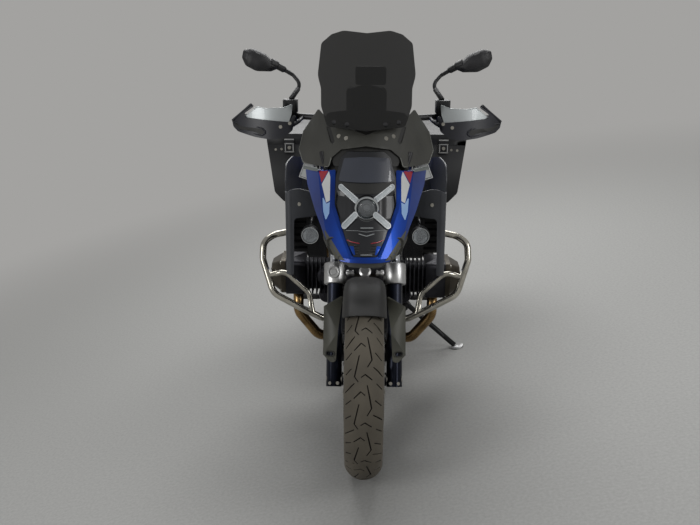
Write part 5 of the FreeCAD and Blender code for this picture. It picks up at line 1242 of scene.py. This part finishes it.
def liningAt(x, z):
    edge = max(0.0, abs(x) - lineAt([(140, 930), (152, 862), (133, 800), (110, 757),
                                     (50, 740)], z) + 16)
    cover = beakAt(x, z) + 7 if z < 950 and abs(x) < lineAt(beak["outer"], z) + 6 else 0
    return max(noseAt(x, z) + 7 + 0.06 * edge ** 2, cover)


liningLoop = roundedLoop(bothSides([
    (0, 736), (48, 737, 18), (110, 756, 22), (133, 800, 40), (151, 862, 60), (139, 930, 40),
    (97, 960, 10), (97, 905, 20), (61, 814, 30), (36.5, 771), (0, 771)]))
lining = [panel(liningLoop, liningAt, 7, wall=3)]
for side in sides:
    for x, z, r in ((106, 800, 17), (74, 760, 11)):
        centre = (side * x, liningAt(x, z) - 0.5, z)
        lining.append(lathe([(0, r), (3.2, r - 1), (3.2, r - 4), (1, r - 6), (1, 5), (3, 4),
                             (3, 0), (0, 0)][::-1], centre, (0, -1, 0.1), 36))
settle("noseLiningShell", joined(lining), "panel", "chassis", ["nose_lining"], 30)

# dark panel that closes the space behind the lamp's top, the cowl and the screen's foot
inner = roundedLoop(bothSides([(0, 1020), (104, 1016, 8), (128, 1090, 20), (138, 1168, 20),
                               (70, 1180, 30), (0, 1176)]))
settle("innerCowlPanel", panel(inner, lambda x, z: cowlAt(x, z) + 24 - 0.0012 * x * x, 12,
                               wall=2), "dark")

# dark cheeks at the beak's lower corners
cheek = panel(roundedLoop([(134, 838, 3), (100, 801, 12), (62, 757.5), (93, 757.5, 4),
                           (121, 797, 20)]), lifted(beakAt, 1.4), 6, wall=2.4)
settle("beakCheeks", withMirror(cheek), "legCover", crease=24)

# dark strips behind the gap between the lamp and the beak
strip = panel(roundedLoop([(78, 850, 4), (102, 850, 4), (134, 1010, 8), (134, 1062, 8),
                           (88, 1070, 8), (80, 990, 8)]), lifted(noseAt, -31), 10,
              wall=3)
settle("lampSidePanels", withMirror(strip), "dark")

# grey bars between the beak and the cowl
bars = [panel(capsule((s * 206, 993), (s * 160, 998), 4.6),
              lifted(cowlAt, 8), 4, wall=10) for s in sides]
for i in range(9):
    x = 164 + i * 5
    bars += [sweep([Vector((s * x, cowlAt(x, 997) - 8.4, 990.5 + (208 - x) * 0.05)),
                    Vector((s * x, cowlAt(x, 997) - 8.4, 998.5 + (208 - x) * 0.05))], 1.0, 1, 6)
             for s in sides]
settle("cowlBars", joined(bars), "cowlBar")


cowl = {"fold": [(160, 1180), (163, 1100), (166, 1002)],
        "inner": [(146, 1168), (120, 1078), (112, 1040), (118, 1010)]}


def cowlFace(x, z):
    side = abs(x)
    fold, inner = lineAt(cowl["fold"], z), lineAt(cowl["inner"], z)
    back = 0.0
    if side > fold:
        back = 0.42 * (side - fold)
    elif side < inner:
        back = min(0.4 * (inner - side), 7)
    return cowlAt(x, z) + back


cowlLoop = roundedLoop(bothSides([
    (0, 1080), (79, 1067, 10), (109, 1042, 10), (122, 1014, 8), (213, 1002, 10), (230, 1034, 14),
    (213, 1100, 40), (161, 1178, 6), (142, 1162, 20), (0, 1111)]))
slots = [roundedLoop([(s * 132, 1129, 3), (s * 117, 1126, 3), (s * 102, 1088, 4),
                      (s * 108, 1078, 5), (s * 116, 1084, 4)]) for s in sides]
cowlLines = drawnLines([cowl["fold"], cowl["inner"]])
settle("cowlShell", panel(cowlLoop, cowlFace, 8, slots, 4, cowlLines), "panel", "chassis",
       ["cockpit_cowl"], 16)
backs = [panel(roundedLoop([(s * 138, 1134, 3), (s * 113, 1130, 3), (s * 97, 1090, 4),
                            (s * 106, 1072, 5), (s * 120, 1080, 4)]),
               lifted(cowlFace, -9), 8, wall=2) for s in sides]
settle("cowlSlotBacks", joined(backs), "slotGrey")
# the cowl's lower rim as a pale grey cord: a painted highlight along the edge
rim = onSurface([(112, 1040), (120, 1013), (212, 1001.5), (230, 1034), (214, 1098)],
                cowlFace, 0.3, 1.5, 10)
settle("cowlRims", withMirror(rim), "rimGrey")
screws("cowlScrews", mirroredPlaces([((88, cowlFace(88, 1104) - 0.5, 1104), (0, -1, 0.4)),
                                     ((64, cowlFace(64, 1100) - 0.5, 1100), (0, -1, 0.4))]),
       5.5, 4)


screenLoop = roundedLoop(bothSides([
    (0, 1128), (126, 1136, 14), (149, 1193, 40), (152, 1246, 40), (165, 1284, 60),
    (157, 1384, 18), (122, 1413, 20), (81, 1426, 50), (0, 1418)]), 8)
settle("screenGlass", panel(screenLoop, lifted(screenAt, -0.5), 14, wall=3.2),
       "screen", "chassis", ["windscreen"], 40)
screws("screenScrews", mirroredPlaces([((104, screenAt(104, 1150) - 0.5, 1150), (0, -1, 1)),
                                       ((62, screenAt(62, 1146) - 0.5, 1146), (0, -1, 1))]),
       6, 3, "chassis", "satin")
print("nose ready")


# Body: tank, shrouds, lamps, radiators, engine

def softened(label, voxel, rounds, crown=None):
    # a CAD copy remeshed and smoothed, so that its edges turn over softly
    holder = bpy.data.objects.new("holder", toMesh(cadShape(label)))
    bpy.context.scene.collection.objects.link(holder)
    remesh = holder.modifiers.new("voxels", "REMESH")
    remesh.mode, remesh.voxel_size = "VOXEL", voxel
    smooth = holder.modifiers.new("smooth", "SMOOTH")
    smooth.factor, smooth.iterations = 0.5, rounds
    graph = bpy.context.evaluated_depsgraph_get()
    result = bpy.data.meshes.new_from_object(holder.evaluated_get(graph))
    bpy.data.objects.remove(holder)
    made = bmesh.new()
    made.from_mesh(result)
    bpy.data.meshes.remove(result)
    for vert in made.verts if crown else ():
        crown(vert)
    return made


settle("tankShell", softened("fuel_tank", 5, 10), "blue", "chassis", ["fuel_tank"], 60)
fillerAt = (0, 560, 1050)
fillerCap = joined([
    lathe([(-4, 0), (-4, 42), (4, 42), (6.5, 39), (6.5, 33), (5, 32), (5, 0)],
          fillerAt, (0, 0, 1), 64),
    lathe([(4, 0), (4, 30), (6.6, 29), (7, 24), (7, 0)], fillerAt, (0, 0, 1), 48)])
settle("fillerCap", fillerCap, "silver")
screws("fillerScrews", [((a, 560 + b, 1057), (0, 0, 1)) for a, b in circleOf(6, 36)], 3.2, 2)

settle("sideShroudShells", cadShape("side_shrouds"), "shroud", "chassis", ["side_shrouds"], 24)
shroudVents = []
for side in sides:
    for i in range(4):
        y, z = 392 + i * 26, 826 + i * 16
        shroudVents.append(sweep([(side * 285.5, y, z), (side * 285.5, y + 14, z + 74)], 2.6, 1,
                                 10))
settle("shroudVentRibs", joined(shroudVents), "dark")
coverPads = [block([(910, 690), (1090, 700), (1058, 668), (972, 630), (908, 650)], "X",
                   s * 154.6, s * 157.4, 0.8) for s in sides]
settle("sideCoverPads", joined(coverPads), "dark")
screws("shroudScrews", mirroredPlaces([((230, 290, 850), (0.1, -1, 0.0))]), 5, 3.5)


def wingAt(x, z):                # the face of the pale wing beside the beak's top
    return 256 + 0.3 * (z - 950)


wing = panel(roundedLoop([(222, 956, 2), (193, 947, 2), (172, 999, 2), (186, 1003, 2),
                          (201, 1010, 2)]), lifted(wingAt, 0.4), 6, wall=4)
edge = [onSurface([(225, 953), (202, 1012), (186, 1004)], wingAt, 1, 1.8, 5),
        onSurface([(226, 954), (190, 943)], wingAt, 1, 1.8, 4)]
settle("shroudWings", withMirror(joined([wing] + edge)), "decal", crease=20)

lampRing, lampBowl, lampGlass, lampRibs = [], [], [], []
for side in sides:
    centre = Vector((side * 188, 214, 760))
    lampRing.append(lathe([(0, 29), (0, 25.5), (4, 25.5), (4, 28), (6, 30), (2, 31), (-30, 30),
                           (-46, 22), (-48, 0), (-46, 0), (-44, 20), (-30, 27), (0, 27)],
                          centre, (0, -1, 0), 48))
    lampBowl.append(lathe([(3, 26), (-6, 24), (-18, 15), (-22, 5), (-22, 0), (-24, 0), (-24, 6),
                           (-19, 17), (-6, 26)], centre, (0, -1, 0), 48))
    lampGlass.append(lathe([(3, 26), (5, 20), (6, 0), (4, 0), (3, 20), (1, 26)], centre,
                           (0, -1, 0), 48))
    for i in range(-3, 4):
        reach = math.sqrt(24 ** 2 - (i * 6.6) ** 2)
        lampRibs.append(sweep([centre + Vector((i * 6.6, -5.0, -reach)),
                               centre + Vector((i * 6.6, -6.4, 0)),
                               centre + Vector((i * 6.6, -5.0, reach))], 1.5, 40, 8))
    stay = [(side * 188, 250, 770), (side * 188, 300, 786), (side * 188, 351.7, 790)]
    lampRing.append(sweep(stay, 7, 30, 16))
    lampRing.append(lathe([(0, 0), (0, 12), (3, 13.5), (8, 13.5), (11, 12), (11, 0)],
                          Vector((side * 188, 244, 768)), (0, 1, 0.2), 32))
settle("auxLampShells", joined(lampRing), "satin", "chassis", ["auxiliary_lamps"])
settle("auxLampBowls", joined(lampBowl), "bowl")
settle("auxLampGlass", joined(lampGlass), "lens")
settle("auxLampRibs", joined(lampRibs), "lens")
brightRings = [lathe([(3, 30.6), (6.5, 29), (6.5, 26.5), (3, 25.6), (3, 30.6)],
                     (s * 188, 214, 760), (0, -1, 0), 48) for s in sides]
settle("auxLampRings", joined(brightRings), "reflector")

skinOver("radiators", ["satin", "core"], [lambda m: m.y < 352.6])
fins = [block(rectangle(x - 0.5, 648, x + 0.5, 812), "Y", 349.5, 352.4)
        for x in [side * (146 + i * 2.0) for side in sides for i in range(30)]]
settle("radiatorFins", joined(fins), "satin")

# louvred air guides that close the space between each radiator and the shroud's bend
guide = {"inner": 207, "outer": 277, "low": 650, "high": 862, "slats": 9}
guides = []
for side in sides:
    inner, outer = side * guide["inner"], side * guide["outer"]
    guides.append(block(rectangle(inner, guide["low"], outer, guide["high"]), "Y", 386, 389,
                        0.8))
    for i in range(guide["slats"]):
        z = guide["low"] + 12 + i * 23.5
        guides.append(block([(376, z), (386, z + 7), (386, z + 10), (376, z + 3)], "X",
                            min(inner, outer) + 3, max(inner, outer) - 3))
settle("radiatorAirGuides", joined(guides), "core")

# starter, oil filter and pump housings beside the crankcase's front
housings = []
for side in sides:
    housings.append(lathe([(0, 0), (0, 38), (60, 38), (62, 41), (70, 41), (72, 38), (98, 38),
                           (104, 34), (106, 24), (109, 22), (109, 0)],
                          (side * 150, 640, 508), (0, -1, 0), 48))
    housings.append(lathe([(0, 0), (0, 33), (84, 33), (90, 30), (92, 16), (96, 15), (96, 0)],
                          (side * 146, 640, 428), (0, -1, 0), 48))
    housings.append(block(rectangle(540, 392, 632, 545), "X",
                          min(side * 113, side * 124), max(side * 113, side * 124), 2))
settle("engineHousings", joined(housings), "engine")

skinOver("engine_block", "engine")
frontCover = lathe([(0, 0), (0, 80), (3, 78), (5, 70), (5, 52), (8, 50), (8, 30), (5, 28),
                    (5, 0)], (0, 472.5, 440), (0, -1, 0), 72)
settle("engineFrontCover", frontCover, "cover")
screws("engineFrontScrews", [((a, 470.5, 440 + b), (0, -1, 0)) for a, b in circleOf(10, 75)],
       4.5, 5)
ribs = []
for side in sides:
    for i in range(7):
        y = 545 + i * 34
        ribs.append(block(rectangle(y - 3, 276, y + 3, 330), "X", side * 115 - 1,
                          side * 118 + 1))
    ribs.append(lathe([(0, 0), (0, 58), (6, 56), (8, 48), (8, 34), (5, 30), (5, 0)],
                      (side * 114.5, 742, 520), (side, 0, 0), 56))
    ribs.append(lathe([(0, 0), (0, 44), (6, 42), (7, 36), (7, 0)],
                      (side * 114.5, 840, 380), (side, 0, 0), 48))
settle("engineSideCovers", joined(ribs), "engine")
sideScrews = [((121, 742 + a, 520 + b), (1, 0, 0)) for a, b in circleOf(6, 52)]
sideScrews += [((121, 840 + a, 380 + b), (1, 0, 0)) for a, b in circleOf(5, 39)]
screws("engineSideScrews", mirroredPlaces(sideScrews), 4, 4)
skinOver("cylinders", "engine")
settle("headCoverShells", softEdges(cadShape("head_covers"), 3, 3), "cover", "chassis",
       ["head_covers"], 40)
coverScrews = []
for y, side in ((575, 1), (605, -1)):
    coverScrews += [((side * 323, y + a, 500 + b), (side, 0, 0))
                    for a, b in ((-66, -50), (66, -50), (66, 60), (-66, 60))]
screws("headCoverScrews", coverScrews, 5.5, 6)
skinAll({"intake_ducts": "dark", "exhaust_header": "exhaust"})
silencer = {"from": Vector((-164, 1161, 452)), "way": Vector((-6, 430, 118))}


def alongCan(m):
    return (m - silencer["from"]).dot(silencer["way"]) / silencer["way"].length_squared


def inOutlet(m):                 # the walls of the bore in the can's end
    spot = silencer["from"] + silencer["way"] * alongCan(m)
    return 0.4 < alongCan(m) < 0.995 and (m - spot).length < 30


skinOver("silencer", ["can", "satin", "dark"],
         [lambda m: alongCan(m) < 0.12 or alongCan(m) > 0.86, inOutlet])
settle("silencerOutlet", lathe([(-60, 21), (3, 21), (4, 20), (3, 19), (-58, 19), (-60, 21)],
                               silencer["from"] + silencer["way"], (0, 1, 0), 48), "can")
skinAll({"main_frame": "frame", "rear_frame": "frame", "crash_bars": "tube",
         "skid_plate": "brushed", "case_carriers": "frame", "luggage_rack": "satin",
         "swing_arm": "satin", "final_drive": "satin", "rear_mudguard": "dark",
         "fairing_carrier": "satin"})


def springTest(low, high, coil):
    low, high = Vector(low), Vector(high)
    way = (high - low).normalized()

    def isCoil(m):
        along = (m - low).dot(way)
        radius = (m - low - way * along).length
        return 52 < along < (high - low).length - 44 and radius > coil - 11
    return isCoil


skinOver("rear_shock", ["satin", "spring"],
         [springTest((-10, 993, 438), (-10, 830, 646), 34)], 50)
skinOver("front_shock", ["satin", "spring"], [lambda m: 560 < m.z < 700], 50)
skinOver("side_stand", ["frame", "silver"], [lambda m: m.x > 366 and m.z < 96])
skinOver("footrests", ["satin", "rubber"], [lambda m: abs(m.x) > 205])
cover = lathe([(-26, 84), (-18, 88), (-6, 78), (-4, 62), (-1, 60), (0, 56), (0, 42), (-26, 42),
               (-26, 84)], (205, rearAxle.y, rearAxle.z), (1, 0, 0), 72)
settle("finalDriveCover", cover, "engine")
driveScrews = {"finalDriveScrews": (200.5, 70, 8, 4, bodyOf["final_drive"]),
               "rearWheelScrews": (206, 30, 5, 5, "rear_wheel")}
for name, (x, radius, count, size, body) in driveScrews.items():
    screws(name, [((x, rearAxle.y + a, rearAxle.z + b), (1, 0, 0))
                  for a, b in circleOf(count, radius)], size, 5, body)
print("engine and frame ready")


# Seats: remeshed, crowned and seamed foam

def seatPiece(name, label, top, edge):
    def crown(vert):
        if vert.co.z > edge:
            share = min((vert.co.z - edge) / (top - edge), 1)
            vert.co.z += 2.0 * share * math.cos(min(abs(vert.co.x) / 150, 1) * math.pi / 2)
        away = abs(vert.co.z - edge + 10)
        if away < 4 and abs(vert.co.x) > 60:         # the side seam draws the cover in
            vert.co.x -= math.copysign(1.6 * (1 - away / 4), vert.co.x)

    shape = softened(label, 4.5, 12, crown)
    settle(name, shape, "vinyl", "chassis", [label], 70)


seatPiece("riderSeatCushion", "rider_seat", 852, 836)
seatPiece("pillionSeatCushion", "pillion_seat", 920, 880)


def seam(name, point, normal, depth, radius):
    # the line where a plane meets a finished piece, down to a depth below its top, as a cord
    shape = bmesh.new()
    shape.from_mesh(bpy.data.objects[name].data)
    moved(shape, upright)
    met = bmesh.ops.bisect_plane(shape, geom=list(shape.verts) + list(shape.edges)
                                 + list(shape.faces), plane_co=point, plane_no=normal)
    edges = [g for g in met["geom_cut"] if isinstance(g, bmesh.types.BMEdge)]
    top = max(v.co.z for e in edges for v in e.verts)
    left = {e for e in edges if min(v.co.z for v in e.verts) > top - depth}
    ends = [v for e in left for v in e.verts if len([k for k in v.link_edges if k in left]) == 1]
    at = min(ends, key=lambda v: v.co.x) if ends else min(
        (v for e in left for v in e.verts), key=lambda v: v.co.x)
    line = [at]
    while True:
        ahead = [e for e in line[-1].link_edges if e in left]
        if not ahead:
            break
        edge = min(ahead, key=lambda e: e.other_vert(line[-1]).co.y)
        left.remove(edge)
        line.append(edge.other_vert(line[-1]))
    places = [v.co.copy() for v in line]
    shape.free()
    smooth = [sum(places[max(i - 2, 0):i + 3], Vector()) / len(places[max(i - 2, 0):i + 3])
              for i in range(0, len(places), 2)]
    return sweep(smooth, radius, 0.5, 8)


seatSeams = {"riderSeatCushion": {"piping": 836, "rows": (0.25, 0.4, 0.55, 0.7)},
             "pillionSeatCushion": {"piping": 899, "rows": (0.15, 0.3, 0.45, 0.6, 0.75)}}
for name, seams in seatSeams.items():
    ys = [(upright @ v.co).y for v in bpy.data.objects[name].data.vertices]
    cords = [seam(name, (0, 0, seams["piping"]), (0, 0, 1), 1, 1.9)]
    cords += [seam(name, (0, min(ys) + share * (max(ys) - min(ys)), 0), (0, 1, 0), 9, 1.3)
              for share in seams["rows"]]
    settle(name + "Seams", joined(cords), "thread")
settle("tankSeam", seam("tankShell", (0, 0, 862), (0, 0, 1), 1, 1.2), "dark")
print("seats ready")


# Dash

skinOver("instrument_display", ["nylon", "display"], [lambda m: m.y > 365.5])
skinOver("navigation_unit", ["nylon", "display"], [lambda m: m.y > 371.5])
for name, loop, y in (("instrumentBezel", [(-64, 1138, 8), (64, 1138, 8), (64, 1242, 12),
                                           (-64, 1242, 12)], 366.4),
                      ("navigationBezel", [(-34, 1257, 6), (62, 1257, 6), (62, 1307, 6),
                                           (-34, 1307, 6)], 372.4)):
    ring = [Vector((p.x, y, p.y)) for p in roundedLoop(loop)]
    settle(name, sweep(ring + ring[:1], 2.2, 0.5, 8), "nylon")


# Cases

latch = {"x": 337, "front": 1147, "back": 1152,
         "bars": [(-21, 934, 21, 939), (-21, 916, 21, 920), (-21, 880, 21, 884),
                  (-19, 881, -15, 919), (15, 881, 19, 919)]}


def onEnds(m):                   # on the edges round a case's front and back
    return 1159 < m.y < 1160.5 or 1609.5 < m.y < 1611


for side, hand in ((1, "left"), (-1, "right")):
    shell = softEdges(cadShape("pannier_" + hand), 10, 4,
                      test=lambda m: m.z < 911 and onEnds(m))
    shell = softEdges(shell, 7, 3, test=lambda m: 660 < m.z < 911 and (
        abs(m.y - 1163) < 0.5 or abs(m.y - 1607) < 0.5))
    settle("case_" + hand, shell, "case", "chassis", ["pannier_" + hand], 30)
    lidBody = "pannier_lid_" + hand
    lid = softEdges(cadShape(lidBody), 5, 3, test=lambda m: m.z > 930 and onEnds(m))
    settle("caseLid_" + hand, lid, "case", lidBody, [lidBody], 30)
    x = side * latch["x"]
    frames = [block(rectangle(x + a, low, x + b, high), "Y", latch["front"], latch["back"], 1)
              for a, low, b, high in latch["bars"]]
    settle("latchFrame_" + hand, joined(frames), "silver", lidBody)
    barrel = lathe([(0, 0), (0, 8), (3, 8), (4.5, 6.5), (4.5, 0)], (x, 1151, 900), (0, -1, 0),
                   28)
    settle("latchLock_" + hand, barrel, "zinc", lidBody)
    screws("caseScrews_" + hand, [((side * a, 1160, b), (0, -1, 0)) for a, b in (
        (372, 892), (398, 890), (350, 676), (262, 890), (262, 690))], 4, 2.4)
    ribs = []
    for i in range(5):
        z = 726 + i * 34
        face = 406 + (z - 699) / 213 * 28              # the case's outer wall at this height
        ribs.append(sweep([(side * face, 1196, z), (side * face, 1574, z)], 3.2, 1, 12))
    settle("caseRibs_" + hand, joined(ribs), "case")
print("cases ready")


# Tail

skinOver("tail_unit", ["dark", "redLens", "amberLens"],
         [lambda m: m.y > 1715 and abs(m.x) < 60.5 and 795 < m.z < 847,
          lambda m: (Vector((abs(m.x), m.y, m.z)) - Vector((134, 1792, 690))).length < 17.6])
lampRows = [onSurface([(-50 + i * 3, 806 + i * 10), (50 - i * 3, 806 + i * 10)],
                      lambda x, z: 1716.6, -0.5, 1.6, 4) for i in range(4)]
settle("tailLampRows", joined(lampRows), "red")
plateFrame = roundedLoop([(-88, 650, 6), (88, 650, 6), (88, 490, 6), (-88, 490, 6)])
settle("plateFrame", onSurface([tuple(p) for p in plateFrame + plateFrame[:1]],
                               lambda x, z: 1822.6 + (652 - z) * 64 / 170, 0, 2.2, 1), "satin")
print("tail ready")

left = [label for label in nodes if not nodes[label].hide_render]
print("nodes shown without a skin:", left)


# Stage, light and camera

stage = {"flat": 6.0, "bend": 3.0, "high": 7.0, "dark": "#8d8d8b", "light": "#999997",
         "backdrop": "#a3a2a0", "fadeFrom": 1.6, "fadeTo": 5.0,
         "key": 150, "fill": 60, "rim": 40, "worldStrength": 0.55}


def paleFloor():                 # a round floor that curves up into the backdrop all round
    flat, bend, high = stage["flat"], stage["bend"], stage["high"]
    rows = [(0.0, 0.0), (flat, 0.0)]
    rows += [(flat + bend * math.sin(a), bend * (1 - math.cos(a)))
             for a in [math.pi / 2 * i / 16 for i in range(1, 17)]]
    rows.append((flat + bend, high))
    shape = bmesh.new()
    rings = [[shape.verts.new((x, y, height)) for x, y in circleOf(96 if radius else 1, radius)]
             for radius, height in rows]
    skinRings(shape, rings[::-1], False)
    mesh = toMesh(shape, "paleFloor")
    mesh.polygons.foreach_set("use_smooth", [True] * len(mesh.polygons))
    floor = bpy.data.objects.new("paleFloor", mesh)
    bpy.context.scene.collection.objects.link(floor)
    made, tree, shader, place = newFinish("paleStudioFloor")
    grain = addNode(tree, "ShaderNodeTexNoise", {"Vector": place},
                    {"Scale": 90.0, "Detail": 4.0, "Roughness": 0.6})
    tree.links.new(mixedColour(tree, grain.outputs["Fac"], stage["dark"], stage["light"]),
                   shader.inputs["Base Color"])
    setShader(shader, Roughness=0.8)
    # away from the bike it fades to one even grey, for the camera and for reflections
    spot = addNode(tree, "ShaderNodeVectorMath", {0: place}, operation="LENGTH")
    far = addNode(tree, "ShaderNodeMapRange", {"Value": spot.outputs["Value"]},
                  {"From Min": stage["fadeFrom"], "From Max": stage["fadeTo"]},
                  interpolation_type="SMOOTHSTEP")
    path = addNode(tree, "ShaderNodeLightPath").outputs
    seen = addNode(tree, "ShaderNodeMath", {0: path["Is Camera Ray"], 1: path["Is Glossy Ray"]},
                   operation="MAXIMUM")
    seen = addNode(tree, "ShaderNodeMath", {0: seen.outputs[0],
                                            1: path["Is Transmission Ray"]},
                   operation="MAXIMUM")
    share = addNode(tree, "ShaderNodeMath", {0: far.outputs["Result"], 1: seen.outputs[0]},
                    operation="MULTIPLY")
    grey = addNode(tree, "ShaderNodeEmission", None, {"Color": linear(stage["backdrop"])})
    mix = addNode(tree, "ShaderNodeMixShader", {0: share.outputs[0], 1: shader.outputs[0],
                                                2: grey.outputs[0]})
    tree.links.new(mix.outputs[0], tree.nodes["Material Output"].inputs["Surface"])
    mesh.materials.append(made)


def areaLight(name, at, aim, size, power):
    lamp = bpy.data.lights.new(name, "AREA")
    lamp.shape, lamp.size, lamp.size_y = "RECTANGLE", size[0], size[1]
    lamp.energy = power
    holder = bpy.data.objects.new(name, lamp)
    holder.matrix_world = (Matrix.Translation(at) @ (Vector(aim) - Vector(at))
                           .to_track_quat("-Z", "Y").to_matrix().to_4x4())
    bpy.context.scene.collection.objects.link(holder)


def studioLight():
    middle = (0, -0.2, 0.7)
    areaLight("overheadSoftbox", (0.3, 1.7, 3.6), middle, (3.2, 3.0), stage["key"])
    areaLight("frontLeftSoftbox", (-3.0, -3.2, 2.2), middle, (1.6, 2.2), stage["fill"])
    areaLight("frontRightSoftbox", (3.2, -2.6, 2.0), middle, (1.6, 2.2), stage["fill"])
    areaLight("rearSoftbox", (0.5, 4.2, 2.8), middle, (3.0, 1.6), stage["rim"])
    world = bpy.data.worlds.new("studio")
    bpy.context.scene.world = world
    world.use_nodes = True
    world.node_tree.nodes["Background"].inputs["Color"].default_value = linear("#c8c8c8")
    world.node_tree.nodes["Background"].inputs["Strength"].default_value = \
        stage["worldStrength"]


def photoCamera():
    view = {"at": (0.00299, -2.670, 1.54975), "yaw": 0.019, "pitch": 0.298, "lens": 45.19,
            "roll": 0.003}
    lens = bpy.data.cameras.new("photoCamera")
    lens.lens, lens.sensor_width = view["lens"], 36.0
    camera = bpy.data.objects.new("photoCamera", lens)
    right = Vector((math.cos(view["yaw"]), math.sin(view["yaw"]), 0))
    ahead = Vector((-math.sin(view["yaw"]) * math.cos(view["pitch"]),
                    math.cos(view["yaw"]) * math.cos(view["pitch"]),
                    -math.sin(view["pitch"])))
    pose = Matrix((right, right.cross(ahead), -ahead)).transposed().to_4x4()
    pose = Matrix.Translation(view["at"]) @ pose @ Matrix.Rotation(view["roll"], 4, "Z")
    leant = parked @ Matrix.Scale(1 / mm, 4)
    bpy.context.scene.collection.objects.link(camera)
    camera.matrix_world = leant @ pose
    bpy.context.scene.camera = camera


paleFloor()
studioLight()
photoCamera()
bpy.context.scene.view_settings.view_transform = "Standard"
print("stage, light and camera ready")
